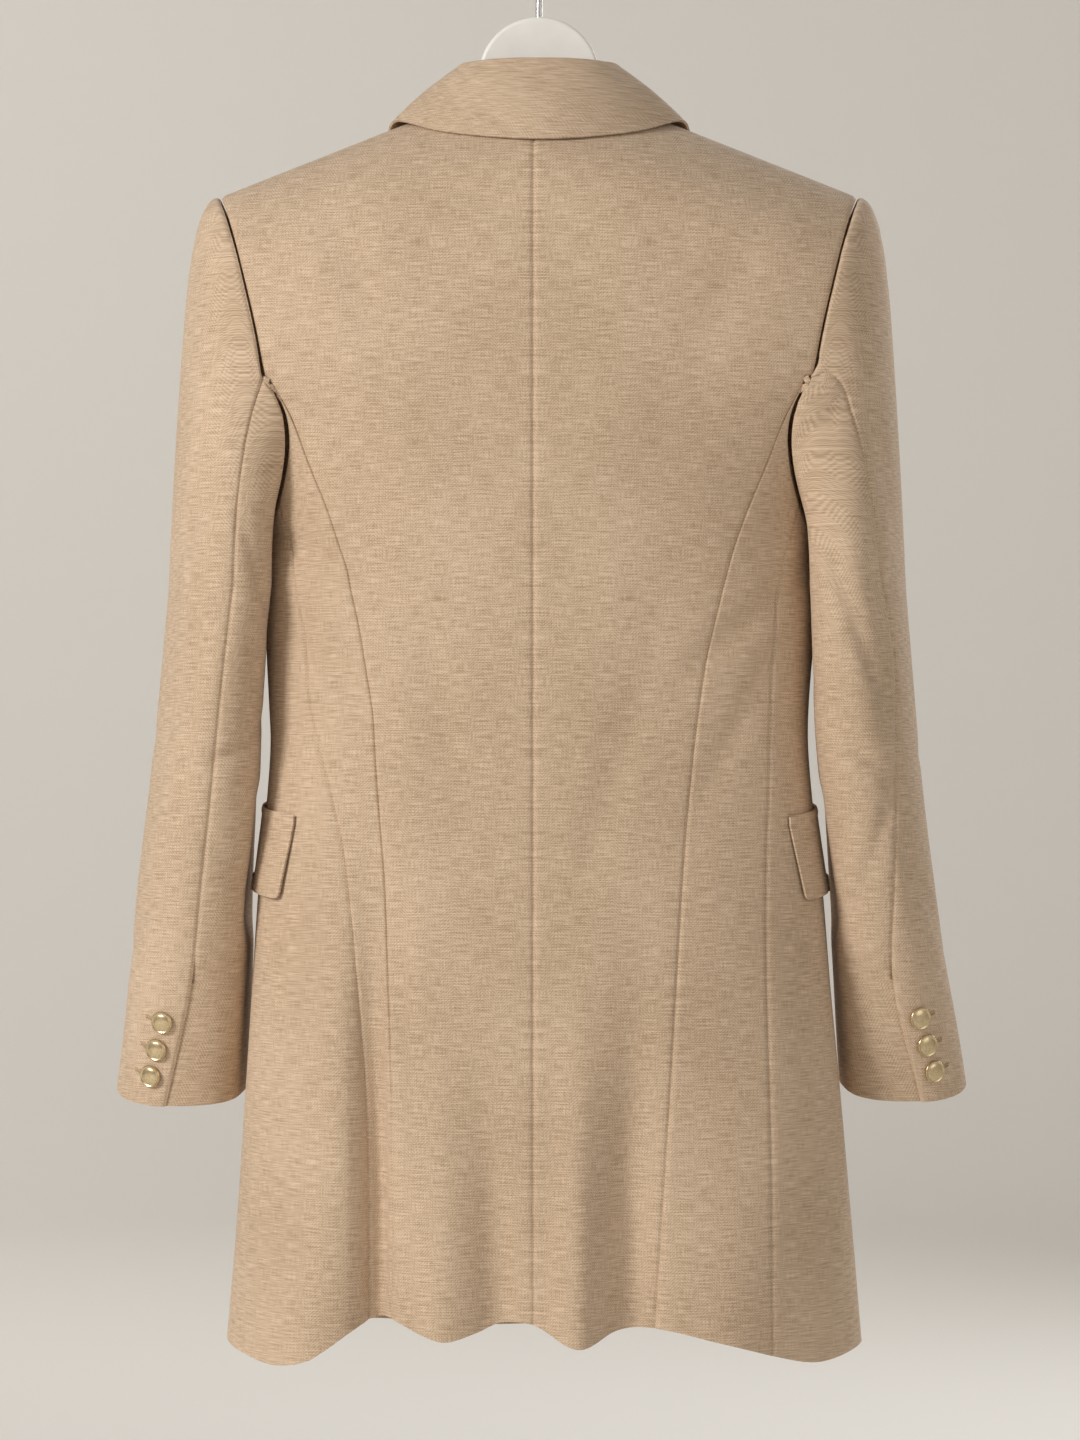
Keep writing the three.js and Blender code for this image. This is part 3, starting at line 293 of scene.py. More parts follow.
# Creases of the sleeves: place round (degrees) and down (share), lean, length, width, depth.
SLEEVE_CREASES = [
    dict(side=1, turn=62, down=0.30, lean=58, length=46, width=7, depth=-3.4),
    dict(side=1, turn=118, down=0.36, lean=-35, length=40, width=8, depth=-2.6),
    dict(side=1, turn=40, down=0.50, lean=30, length=60, width=10, depth=-2.4),
    dict(side=1, turn=110, down=0.56, lean=66, length=40, width=7, depth=-2.8),
    dict(side=1, turn=96, down=0.68, lean=-52, length=44, width=8, depth=-2.0),
    dict(side=1, turn=20, down=0.78, lean=40, length=46, width=9, depth=-1.6),
    dict(side=1, turn=-70, down=0.52, lean=-70, length=50, width=8, depth=-3.0),
    dict(side=-1, turn=70, down=0.20, lean=32, length=70, width=10, depth=-3.6),
    dict(side=-1, turn=80, down=0.40, lean=24, length=90, width=10, depth=-3.2),
    dict(side=-1, turn=95, down=0.55, lean=50, length=50, width=8, depth=-3.0),
    dict(side=-1, turn=72, down=0.66, lean=-30, length=60, width=8, depth=-2.4),
    dict(side=-1, turn=30, down=0.74, lean=30, length=50, width=9, depth=-1.8),
    dict(side=-1, turn=-70, down=0.54, lean=-68, length=50, width=8, depth=-3.0),
]

# ---------- small maths ----------
def clamp(value, low, high):
    return min(high, max(low, value))

def mix(a, b, t):
    return a + (b - a) * t

def soft(t):
    c = clamp(t, 0.0, 1.0)
    return c * c * (3 - 2 * c)

def curve(rows, key, column):
    """A smooth curve through a table's rows, cubic between each pair of rows."""
    ordered = sorted(rows, key=lambda row: row[key])
    xs = [row[key] for row in ordered]
    ys = [row[column] for row in ordered]
    last = len(xs) - 1

    def slope(i):
        low, high = max(0, i - 1), min(last, i + 1)
        return (ys[high] - ys[low]) / (xs[high] - xs[low])

    slopes = [slope(i) for i in range(last + 1)]

    def read(x):
        if x <= xs[0]:
            return ys[0]
        if x >= xs[last]:
            return ys[last]
        i = 0
        while x > xs[i + 1]:
            i += 1
        h = xs[i + 1] - xs[i]
        t = (x - xs[i]) / h
        a = 2 * t ** 3 - 3 * t ** 2 + 1
        b = t ** 3 - 2 * t ** 2 + t
        c = -2 * t ** 3 + 3 * t ** 2
        d = t ** 3 - t ** 2
        return a * ys[i] + b * h * slopes[i] + c * ys[i + 1] + d * h * slopes[i + 1]

    return read

half_left = curve(BODY, "z", "left")
half_right = curve(BODY, "z", "right")
depth_back = curve(BODY, "z", "back")
depth_front = curve(BODY, "z", "front")
front_half = curve(FRONT_WIDTH, "z", "half")
hem_back = curve(BACK_HEM, "x", "z")
hem_front = curve(FRONT_HEM, "x", "z")
back_armhole = curve(BACK_ARMHOLE, "z", "x")
front_armhole = curve(FRONT_ARMHOLE, "z", "x")
neck_edge = curve(NECK_EDGE, "z", "x")
curved_seam = {1: curve(CURVED_SEAM, "z", "left"), -1: curve(CURVED_SEAM, "z", "right")}
side_seam = {1: curve(SIDE_SEAM, "z", "left"), -1: curve(SIDE_SEAM, "z", "right")}
lapel_x = curve(LAPEL_EDGE, "down", "x")
lapel_z = curve(LAPEL_EDGE, "down", "z")
hind_seam = {1: curve(SLEEVE_SEAMS, "down", "leftHind"), -1: curve(SLEEVE_SEAMS, "down", "rightHind")}
fore_seam = curve(SLEEVE_SEAMS, "down", "fore")

def ridge(x):
    return NECK_Z - SHOULDER_FALL * (abs(x) - NECK_X)

SHOULDER_Z = ridge(SHOULDER_X)

def half_width(side, z, is_front):
    if is_front and z > UNDERARM_Z:
        return front_half(z)
    return half_left(z) if side > 0 else half_right(z)

def fold_out(x, z, is_front):
    """How far the cloth stands out at the hem folds and the listed creases."""
    out = 0.0
    for fold in (FRONT_FOLDS if is_front else BACK_FOLDS):
        down = clamp((fold["startZ"] - z) / (fold["startZ"] + 940), 0, 1.05)
        if down <= 0:
            continue
        centre = mix(fold["topX"], fold["hemX"], down)
        across = (x - centre) / (fold["width"] * mix(0.8, 1, down))
        out += fold["depth"] * down ** 1.25 * math.exp(-across * across)
    sheet = "front" if is_front else "back"
    for crease in BODY_CREASES:
        if crease["sheet"] != sheet:
            continue
        dx, dz = x - crease["x"], z - crease["z"]
        if math.hypot(dx, dz) > 3 * crease["length"]:
            continue
        lean = math.radians(crease["lean"])
        along = dz * math.cos(lean) - dx * math.sin(lean)
        aside = dx * math.cos(lean) + dz * math.sin(lean)
        out += crease["depth"] * math.exp(-(along / crease["length"]) ** 2 - (aside / crease["width"]) ** 2)
    return out

def body_point(angle, z, out=0.0):
    sine, cosine = math.sin(angle), math.cos(angle)
    side = 1 if sine >= 0 else -1
    is_front = cosine < 0
    half = half_width(side, z, is_front)
    depth = depth_front(z) if is_front else depth_back(z)
    x = side * half * abs(sine) ** (2 / POWER)
    reach = depth * abs(cosine) ** (2 / POWER)
    close = clamp((ridge(x) - z) / SHOULDER_ROLL, 0, 1)
    y = (-1 if is_front else 1) * reach * math.sqrt(1 - (1 - close) ** 2)
    away = fold_out(x, z, is_front) * soft(abs(cosine) * 3) + out
    nx, ny = x / (half * half), y / (depth * depth)
    length = math.hypot(nx, ny) or 1
    return Vector((x + nx / length * away, y + ny / length * away, z))

def angle_at(x, z, is_front):
    side = 1 if x >= 0 else -1
    share = clamp(abs(x) / half_width(side, z, is_front), 0, 1) ** (POWER / 2)
    angle = math.asin(share)
    return side * (math.pi - angle if is_front else angle)

def hem_at(angle):
    is_front = math.cos(angle) < 0
    side = 1 if math.sin(angle) >= 0 else -1
    x = side * half_width(side, HEM_LEVEL, is_front) * abs(math.sin(angle)) ** (2 / POWER)
    return hem_front(x) if is_front else hem_back(x)

# ---------- panel surfaces ----------
def back_surface(side):
    centre = side * CENTRE_BACK_X
    join_hem = hem_back(side * curved_seam[side](HEM_LEVEL))

    def surface(s, v):
        top_x = mix(centre, SHOULDER_X, s)
        top = ridge(top_x) if top_x >= NECK_X else NECK_Z - 4.3 * (1 - (abs(top_x) / NECK_X) ** 4)
        low = hem_back(side * mix(centre, curved_seam[side](HEM_LEVEL), s))
        edge_z = mix(SHOULDER_Z, join_hem, v)
        edge = back_armhole(edge_z) if edge_z > JOIN_Z else curved_seam[side](edge_z)
        z = mix(top, low, v)
        return body_point(angle_at(side * mix(centre, edge, s), z, False), z)

    return surface

def side_surface(side):
    def surface(s, v):
        top = mix(JOIN_Z, SIDE_TOP_Z, s ** 0.85)
        low = hem_back(side * mix(curved_seam[side](HEM_LEVEL), side_seam[side](HEM_LEVEL), s))
        z = mix(top, low, v)
        start = angle_at(side * curved_seam[side](z), z, False)
        end = angle_at(side * side_seam[side](z), z, False)
        return body_point(mix(start, end, s), z)

    return surface

UNDER_ANGLE = math.radians(95)

def front_tuck(side, x, z):
    if side < 0:
        return 0.0
    return -TUCK * soft((FRONT_EDGE + 32 - x) / 26) * soft((-abs(x) * 2 - 150 - z) / 60 + 1)

def lower_front(side, s, v):
    top = (mix(SIDE_TOP_Z, UNDERARM_Z, math.sin(s * math.pi / 2)) if s < 1
           else mix(UNDERARM_Z, BREAK_Z, (s - 1) ** 1.5))

    def angle_on(z):
        if s < 1:
            return mix(abs(angle_at(side * side_seam[side](z), z, False)), UNDER_ANGLE, s)
        return mix(UNDER_ANGLE, 2 * math.pi - abs(angle_at(-side * FRONT_EDGE, z, True)), s - 1)

    z = mix(top, hem_at(side * angle_on(HEM_LEVEL)), v)
    angle = side * angle_on(z)
    return body_point(angle, z, front_tuck(side, body_point(angle, z).x * side, z))

def upper_front(side, s, v):
    share = s - 1
    low = lower_front(side, s, 0)
    low_share = (low.x * side - front_armhole(UNDERARM_Z)) / (neck_edge(BREAK_Z) - front_armhole(UNDERARM_Z))
    place = mix(share, low_share, v)
    x = mix(front_armhole(mix(SHOULDER_Z, UNDERARM_Z, v)), neck_edge(mix(NECK_Z, BREAK_Z, v)), place)
    z = mix(ridge(mix(SHOULDER_X, NECK_X, share)), low.z, v)
    return body_point(angle_at(side * x, z, True), z, front_tuck(side, x, z))

def front_surface(side):
    return lambda s, v: lower_front(side, s, v - 1) if v >= 1 else upper_front(side, max(1, s), v)

def lay_out(side, x, z, out):
    return body_point(angle_at(side * x, z, True), z, out)

def lapel_surface(side):
    def surface(s, v):
        fold_z = mix(-177, BREAK_Z, v)
        fold_x = neck_edge(fold_z) - 0.4
        notch = (1 - v) ** 5 * math.sin(math.pi * min(1, s * 1.05)) * 19
        x = mix(fold_x, lapel_x(v), s)
        z = mix(fold_z, lapel_z(v), s) - notch
        lift = 4.6 * math.exp(-((s - 0.16) / 0.22) ** 2) * soft((0.36 - v) / 0.2)
        return lay_out(side, x, z, front_tuck(side, x, z) + CLOTH + LAY_GAP + 1.8 + lift)

    return surface

# ---------- collar ----------
def spline(points):
    """A smooth path through points, read by share of its number of spans."""
    last = len(points) - 1

    def read(t):
        place = clamp(t, 0, 1) * last
        i = min(last - 1, int(place))
        u = place - i
        a, b = points[max(0, i - 1)], points[i]
        c, d = points[i + 1], points[min(last, i + 2)]
        return 0.5 * ((2 * b) + (c - a) * u + (2 * a - 5 * b + 4 * c - d) * u * u
                      + (3 * b - a - 3 * c + d) * u ** 3)

    return read

def collar_edge(i, row):
    is_front = i > 3
    lift = CLOTH + 2
    if "edgeY" not in row:
        return body_point(angle_at(row["edgeX"], row["edgeZ"], is_front), row["edgeZ"], lift)
    top = ridge(row["edgeX"])
    reach = abs(body_point(angle_at(row["edgeX"], top - SHOULDER_ROLL, is_front), top - SHOULDER_ROLL).y)
    close = 1 - math.sqrt(1 - (row["edgeY"] / reach) ** 2)
    return Vector((row["edgeX"], row["edgeY"], top - close * SHOULDER_ROLL + lift + 0.8))

def collar_path(half):
    return spline([Vector((-p.x, p.y, p.z)) for p in half[:0:-1]] + half)

seam_path = collar_path([Vector(row["seam"]) for row in COLLAR])
fold_path = collar_path([Vector(row["fold"]) for row in COLLAR])
edge_path = collar_path([collar_edge(i, row) for i, row in enumerate(COLLAR)])
FOLD_ROUND = 3.0

def collar_surface(u, w):
    seam, fold, edge = seam_path(u), fold_path(u), edge_path(u)
    outward = edge - seam
    outward.z = 0
    bisect = ((seam - fold).normalized() + (edge - fold).normalized()).normalized()
    across = (outward - bisect * outward.dot(bisect)).normalized()
    centre = fold + bisect * FOLD_ROUND
    if 0.38 < w < 0.62:
        turn = math.radians(mix(-90, 90, (w - 0.38) / 0.24))
        return centre + across * math.sin(turn) * FOLD_ROUND - bisect * math.cos(turn) * FOLD_ROUND
    if w <= 0.38:
        return seam.lerp(centre - across * FOLD_ROUND, w / 0.38)
    t = (w - 0.62) / 0.38
    return (centre + across * FOLD_ROUND).lerp(edge, t) + across * math.sin(math.pi * t) * 2.4

# ---------- sleeves ----------
def armhole_loop(side):
    back, under = back_surface(side), side_surface(side)
    join_hem = hem_back(side * curved_seam[side](HEM_LEVEL))
    join = (SHOULDER_Z - JOIN_Z) / (SHOULDER_Z - join_hem)
    points = [back(1, join * i / 24) for i in range(25)]
    back_point = 24
    points += [under(i / 12, 0) for i in range(1, 13)]
    points += [lower_front(side, i / 12, 0) for i in range(1, 13)]
    bottom = len(points) - 1
    points += [upper_front(side, 1, 1 - i / 30) for i in range(1, 31)]
    lengths = [0.0]
    for a, b in zip(points, points[1:]):
        lengths.append(lengths[-1] + (b - a).length)
    total = lengths[-1]
    anchors = [0, lengths[back_point], lengths[bottom], mix(lengths[bottom], total, 0.5), total]

    def read(degrees):
        turn = degrees % 360
        quarter = min(3, int(turn // 90))
        want = mix(anchors[quarter], anchors[quarter + 1], turn / 90 - quarter)
        i = 0
        while i < len(lengths) - 2 and lengths[i + 1] < want:
            i += 1
        t = (want - lengths[i]) / (lengths[i + 1] - lengths[i])
        return points[i].lerp(points[i + 1], clamp(t, 0, 1))

    return read

HEAD = 0.36

def signed_power(value, power):
    return math.copysign(abs(value) ** power, value)

def sleeve_maker(side):
    table = SLEEVE_LEFT if side > 0 else SLEEVE_RIGHT
    read = {key: curve(table, "z", key) for key in ("outer", "inner", "midY", "depth", "turn", "lean")}
    loop = armhole_loop(side)
    top_z, end_z = table[0]["z"], table[-1]["z"]
    creases = [row for row in SLEEVE_CREASES if row["side"] == side]

    def ring(degrees, level):
        turn = math.radians(read["turn"](level))
        deep = read["depth"](level)
        reach = (read["outer"](level) - read["inner"](level)) / 2
        middle = (read["outer"](level) + read["inner"](level)) / 2
        wide = math.sqrt(max(1, reach ** 2 - (deep * math.sin(turn)) ** 2)) / math.cos(turn)
        a = math.radians(degrees)
        px = wide * signed_power(math.cos(a), 0.92)
        py = deep * signed_power(math.sin(a), 0.92)
        x = middle + px * math.cos(turn) - py * math.sin(turn)
        y = read["midY"](level) + px * math.sin(turn) + py * math.cos(turn)
        z = level - (y - read["midY"](level)) * math.tan(math.radians(read["lean"](level)))
        half = half_left(z) if side > 0 else half_right(z)
        depth = depth_back(z) if y > 0 else depth_front(z)
        within = clamp(1 - (abs(y) / depth) ** POWER, 0, 1)
        flap = 5 * soft((-572 - z) / 20) * soft((z + 690) / 25)
        wall = half * within ** (1 / POWER) + 3.4 + flap
        over = x - wall
        x = wall + (over + math.sqrt(over * over + 36)) / 2 - 1.2
        return Vector((side * x, y, z))

    def smooth(turn, down):
        if down >= HEAD:
            return ring(turn, mix(top_z, end_z, (down - HEAD) / (1 - HEAD)))
        t = down / HEAD
        start, end = loop(turn), ring(turn, top_z)
        fall = start.z - end.z
        a = math.radians(turn)
        outer = max(0, math.cos(a))
        start = start + Vector((side * 1.3, 2.1 * max(0, math.sin(a)), 0.3 * outer))
        first = start + Vector((side * (2.2 + 3 * outer) * (1 + 3.2 * outer), (end.y - start.y) * 0.12,
                                -0.1 * fall * (1 - outer)))
        second = end + Vector((-side * 7 * outer, 0, fall * 0.68))
        r = 1 - t
        return start * r ** 3 + first * 3 * r * r * t + second * 3 * r * t * t + end * t ** 3

    def dent(turn, down):
        out = 0.0
        for row in creases:
            dx = ((turn - row["turn"] + 180) % 360 - 180) * 0.95
            dz = (down - row["down"]) * 600
            if math.hypot(dx, dz) > 3 * row["length"]:
                continue
            lean = math.radians(row["lean"])
            along = dz * math.cos(lean) - dx * math.sin(lean)
            aside = dx * math.cos(lean) + dz * math.sin(lean)
            out += row["depth"] * math.exp(-(along / row["length"]) ** 2 - (aside / row["width"]) ** 2)
        return out

    def surface(degrees, v, inward=0.0):
        here = smooth(degrees, v)
        out = inward + dent(degrees, v) * soft(v * 12)
        if out == 0:
            return here
        along = smooth(degrees, min(1, v + 0.002)) - smooth(degrees, max(0, v - 0.002))
        round_ = smooth(degrees + 0.5, v) - smooth(degrees - 0.5, v)
        return here + along.cross(round_).normalized() * side * out

    return surface

# ---------- meshes from surfaces ----------
def fresh_object(name, vertices, faces, material, smooth=True):
    mesh = bpy.data.meshes.new(name)
    mesh.from_pydata([tuple(c * MM for c in v) for v in vertices], [], faces)
    mesh.materials.append(material)
    if smooth:
        mesh.shade_smooth()
        mesh.set_sharp_from_angle(angle=math.radians(42))
    thing = bpy.data.objects.new(name, mesh)
    bpy.context.scene.collection.objects.link(thing)
    return thing

def fine_steps(start, end, size, close=(0.7, 1.5, 2.6)):
    """Shares from start to end about FINE apart, with closer ones near both ends."""
    count = max(3, round(size / FINE))
    steps = {start, end}
    for i in range(1, count):
        steps.add(mix(start, end, i / count))
    for near in close:
        steps.add(mix(start, end, near / size))
        steps.add(mix(start, end, 1 - near / size))
    return sorted(steps)

def panel(name, surface, across, down, inwards, seams="lrt", has=None, thick=CLOTH):
    """A cloth shell: the surface and a second layer inside it. seams lists the edges (left,
    right, top, bottom) where it is sewn and sinks into a groove."""
    columns, rows = len(across) - 1, len(down) - 1
    has = has or (lambda i, j: True)
    grid = [[surface(s, v) for v in down] for s in across]

    def cell(i, j):
        return 0 <= i < columns and 0 <= j < rows and has(i, j)

    used = [[any(cell(i - a, j - b) for a in (0, 1) for b in (0, 1)) for j in range(rows + 1)]
            for i in range(columns + 1)]
    normals = []
    for i in range(columns + 1):
        column = []
        for j in range(rows + 1):
            i0, i1 = max(0, i - 1), min(columns, i + 1)
            j0, j1 = max(0, j - 1), min(rows, j + 1)
            if not used[i0][j]:
                i0 = i
            if not used[i][j0]:
                j0 = j
            normal = (grid[i1][j] - grid[i0][j]).cross(grid[i][j1] - grid[i][j0])
            column.append(normal.normalized() * inwards if normal.length > 1e-9 else None)
        normals.append(column)
    for i in range(columns + 1):
        for j in range(rows + 1):
            if normals[i][j] is None:
                beside = normals[i][min(rows, j + 1)] or normals[max(0, i - 1)][j]
                normals[i][j] = beside or Vector((0, 1, 0))
    # length along each row and column, for the weave and for the distance to a seam
    u_len = [[0.0] * (rows + 1) for _ in range(columns + 1)]
    v_len = [[0.0] * (rows + 1) for _ in range(columns + 1)]
    for i in range(columns + 1):
        for j in range(rows + 1):
            if i:
                u_len[i][j] = u_len[i - 1][j] + (grid[i][j] - grid[i - 1][j]).length
            if j:
                v_len[i][j] = v_len[i][j - 1] + (grid[i][j] - grid[i][j - 1]).length
    outer, inner, index = [], [], {}
    for i in range(columns + 1):
        for j in range(rows + 1):
            if not used[i][j]:
                continue
            reach = 99.0
            first_i = i
            while first_i > 0 and (cell(first_i - 1, j) or cell(first_i - 1, j - 1)):
                first_i -= 1
            first_j = j
            while first_j > 0 and (cell(i, first_j - 1) or cell(i - 1, first_j - 1)):
                first_j -= 1
            if "l" in seams:
                reach = min(reach, u_len[i][j] - u_len[first_i][j])
            if "r" in seams:
                reach = min(reach, u_len[columns][j] - u_len[i][j])
            if "t" in seams:
                reach = min(reach, v_len[i][j] - v_len[i][first_j])
            if "b" in seams:
                reach = min(reach, v_len[i][rows] - v_len[i][j])
            sink = GROOVE * math.exp(-(reach / GROOVE_WIDTH) ** 2)
            index[i, j] = len(outer)
            top = grid[i][j] + normals[i][j] * sink
            outer.append(top)
            inner.append(top + normals[i][j] * thick)
    count = len(outer)
    faces, coords = [], []

    def quad(a, b, c, d):
        faces.append((a, b, c, d) if inwards < 0 else (d, c, b, a))

    for i in range(columns):
        for j in range(rows):
            if not has(i, j):
                continue
            p, q, r, t = index[i, j], index[i + 1, j], index[i + 1, j + 1], index[i, j + 1]
            quad(p, q, r, t)
            quad(t + count, r + count, q + count, p + count)
            if not cell(i, j - 1):
                quad(q, p, p + count, q + count)
            if not cell(i + 1, j):
                quad(r, q, q + count, r + count)
            if not cell(i, j + 1):
                quad(t, r, r + count, t + count)
            if not cell(i - 1, j):
                quad(p, t, t + count, p + count)
    thing = fresh_object(name, outer + inner, faces, CLOTH_MATERIAL)
    layer = thing.data.uv_layers.new(name="weave")
    place = {}
    for (i, j), k in index.items():
        steps = [grid[n + 1][j] - grid[n][j] for n in range(i)]
        along = abs(grid[0][j].x) + sum(math.hypot(step.x, step.y) for step in steps)
        place[k] = place[k + count] = (along * MM, grid[i][j].z * MM)
    for loop in thing.data.loops:
        layer.data[loop.index].uv = place[loop.vertex_index]
    width = 0.0    # across the grain, which hangs straight down
    for j in range(rows + 1):
        steps = [grid[i + 1][j] - grid[i][j] for i in range(columns) if used[i][j] and used[i + 1][j]]
        width = max(width, sum(math.hypot(step.x, step.y) for step in steps))
    length = max(max(row) for row in v_len)
    area = 0.0
    for i in range(columns):
        for j in range(rows):
            if has(i, j):
                p, q, r, t = grid[i][j], grid[i + 1][j], grid[i + 1][j + 1], grid[i][j + 1]
                area += (q - p).cross(t - p).length / 2 + (q - r).cross(t - r).length / 2
    flat = (width * MM, length * MM)
    area *= MM * MM
    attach(thing, "root")
    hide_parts(name.removesuffix("_cloth"))
    return thing, flat, area

# ---------- materials ----------
def node_material(name):
    material = bpy.data.materials.new(name)
    material.use_nodes = True
    tree = material.node_tree
    shader = tree.nodes["Principled BSDF"]
    return material, tree, shader

def add(tree, kind, **values):
    node = tree.nodes.new(kind)
    for key, value in values.items():
        setattr(node, key, value)
    return node

def math_node(tree, operation, a, b):
    node = add(tree, "ShaderNodeMath", operation=operation)
    for socket, value in zip(node.inputs, (a, b)):
        if isinstance(value, (int, float)):
            socket.default_value = value
        else:
            tree.links.new(value, socket)
    return node.outputs[0]

def stretched_noise(tree, coordinates, scale, detail):
    mapping = add(tree, "ShaderNodeMapping")
    mapping.inputs["Scale"].default_value = scale
    tree.links.new(coordinates, mapping.inputs["Vector"])
    noise = add(tree, "ShaderNodeTexNoise")
    noise.inputs["Scale"].default_value = 1
    noise.inputs["Detail"].default_value = detail
    tree.links.new(mapping.outputs["Vector"], noise.inputs["Vector"])
    return noise.outputs["Fac"]

def cloth_material():
    """Herringbone-like suiting: fine diagonal ribs that turn every few millimetres, with
    thicker pale yarns lying across."""
    material, tree, shader = node_material("suiting_cloth_woven")
    uv = add(tree, "ShaderNodeUVMap", uv_map="weave").outputs["UV"]
    split = add(tree, "ShaderNodeSeparateXYZ")
    tree.links.new(uv, split.inputs[0])
    u, v = split.outputs[0], split.outputs[1]
    stripe = math_node(tree, "PINGPONG", u, 0.009)
    wobble = stretched_noise(tree, uv, (120, 120, 1), 2)
    slant = math_node(tree, "ADD", stripe, math_node(tree, "MULTIPLY", wobble, 0.0016))
    diagonal = math_node(tree, "ADD", v, slant)
    rib = math_node(tree, "SINE", math_node(tree, "MULTIPLY", diagonal, 2 * math.pi / 0.0021), 0)
    slub = stretched_noise(tree, uv, (70, 1500, 1), 4)
    warp = stretched_noise(tree, uv, (1500, 110, 1), 3)
    cloud = stretched_noise(tree, uv, (9, 9, 1), 3)
    level = math_node(tree, "MULTIPLY", slub, 0.55)
    level = math_node(tree, "ADD", level, math_node(tree, "MULTIPLY", warp, 0.3))
    level = math_node(tree, "ADD", level, math_node(tree, "MULTIPLY", rib, 0.045))
    level = math_node(tree, "ADD", level, math_node(tree, "MULTIPLY", cloud, 0.15))
    ramp = add(tree, "ShaderNodeValToRGB")
    ramp.color_ramp.elements[0].position = 0.39
    ramp.color_ramp.elements[0].color = (0.43, 0.300, 0.190, 1)
    ramp.color_ramp.elements[1].position = 0.62
    ramp.color_ramp.elements[1].color = (0.76, 0.585, 0.425, 1)
    tree.links.new(level, ramp.inputs["Fac"])
    tree.links.new(ramp.outputs["Color"], shader.inputs["Base Color"])
    shader.inputs["Roughness"].default_value = 0.88
    shader.inputs["Specular IOR Level"].default_value = 0.2
    shader.inputs["Sheen Weight"].default_value = 0.12
    shader.inputs["Sheen Roughness"].default_value = 0.6
    bump = add(tree, "ShaderNodeBump")
    bump.inputs["Strength"].default_value = 0.6
    bump.inputs["Distance"].default_value = 0.0005
    tree.links.new(level, bump.inputs["Height"])
    tree.links.new(bump.outputs["Normal"], shader.inputs["Normal"])
    return material

def toned_material(name, dark, light, scale, roughness, metallic, bump_depth):
    material, tree, shader = node_material(name)
    where = add(tree, "ShaderNodeTexCoord").outputs["Object"]
    noise = stretched_noise(tree, where, (scale, scale, scale), 4)
    ramp = add(tree, "ShaderNodeValToRGB")
    ramp.color_ramp.elements[0].position = 0.35
    ramp.color_ramp.elements[0].color = (*dark, 1)
    ramp.color_ramp.elements[1].position = 0.65
    ramp.color_ramp.elements[1].color = (*light, 1)
    tree.links.new(noise, ramp.inputs["Fac"])
    tree.links.new(ramp.outputs["Color"], shader.inputs["Base Color"])
    shader.inputs["Roughness"].default_value = roughness
    shader.inputs["Metallic"].default_value = metallic
    bump = add(tree, "ShaderNodeBump")
    bump.inputs["Strength"].default_value = 0.2
    bump.inputs["Distance"].default_value = bump_depth
    tree.links.new(noise, bump.inputs["Height"])
    tree.links.new(bump.outputs["Normal"], shader.inputs["Normal"])
    return material

CLOTH_MATERIAL = cloth_material()
BRASS = toned_material("button_metal_brushed", (0.60, 0.46, 0.26), (0.76, 0.62, 0.40), 900,
                       0.28, 1.0, 0.0001)
THREAD = toned_material("thread_twist", (0.42, 0.29, 0.17), (0.62, 0.46, 0.30), 3000, 0.8, 0.0, 0.0002)
PAINT = toned_material("hanger_paint_satin", (0.88, 0.86, 0.82), (0.92, 0.90, 0.86), 60, 0.38, 0.0, 0.0001)
STEEL = toned_material("hook_steel_drawn", (0.42, 0.42, 0.41), (0.60, 0.60, 0.59), 500, 0.25, 1.0, 0.00005)

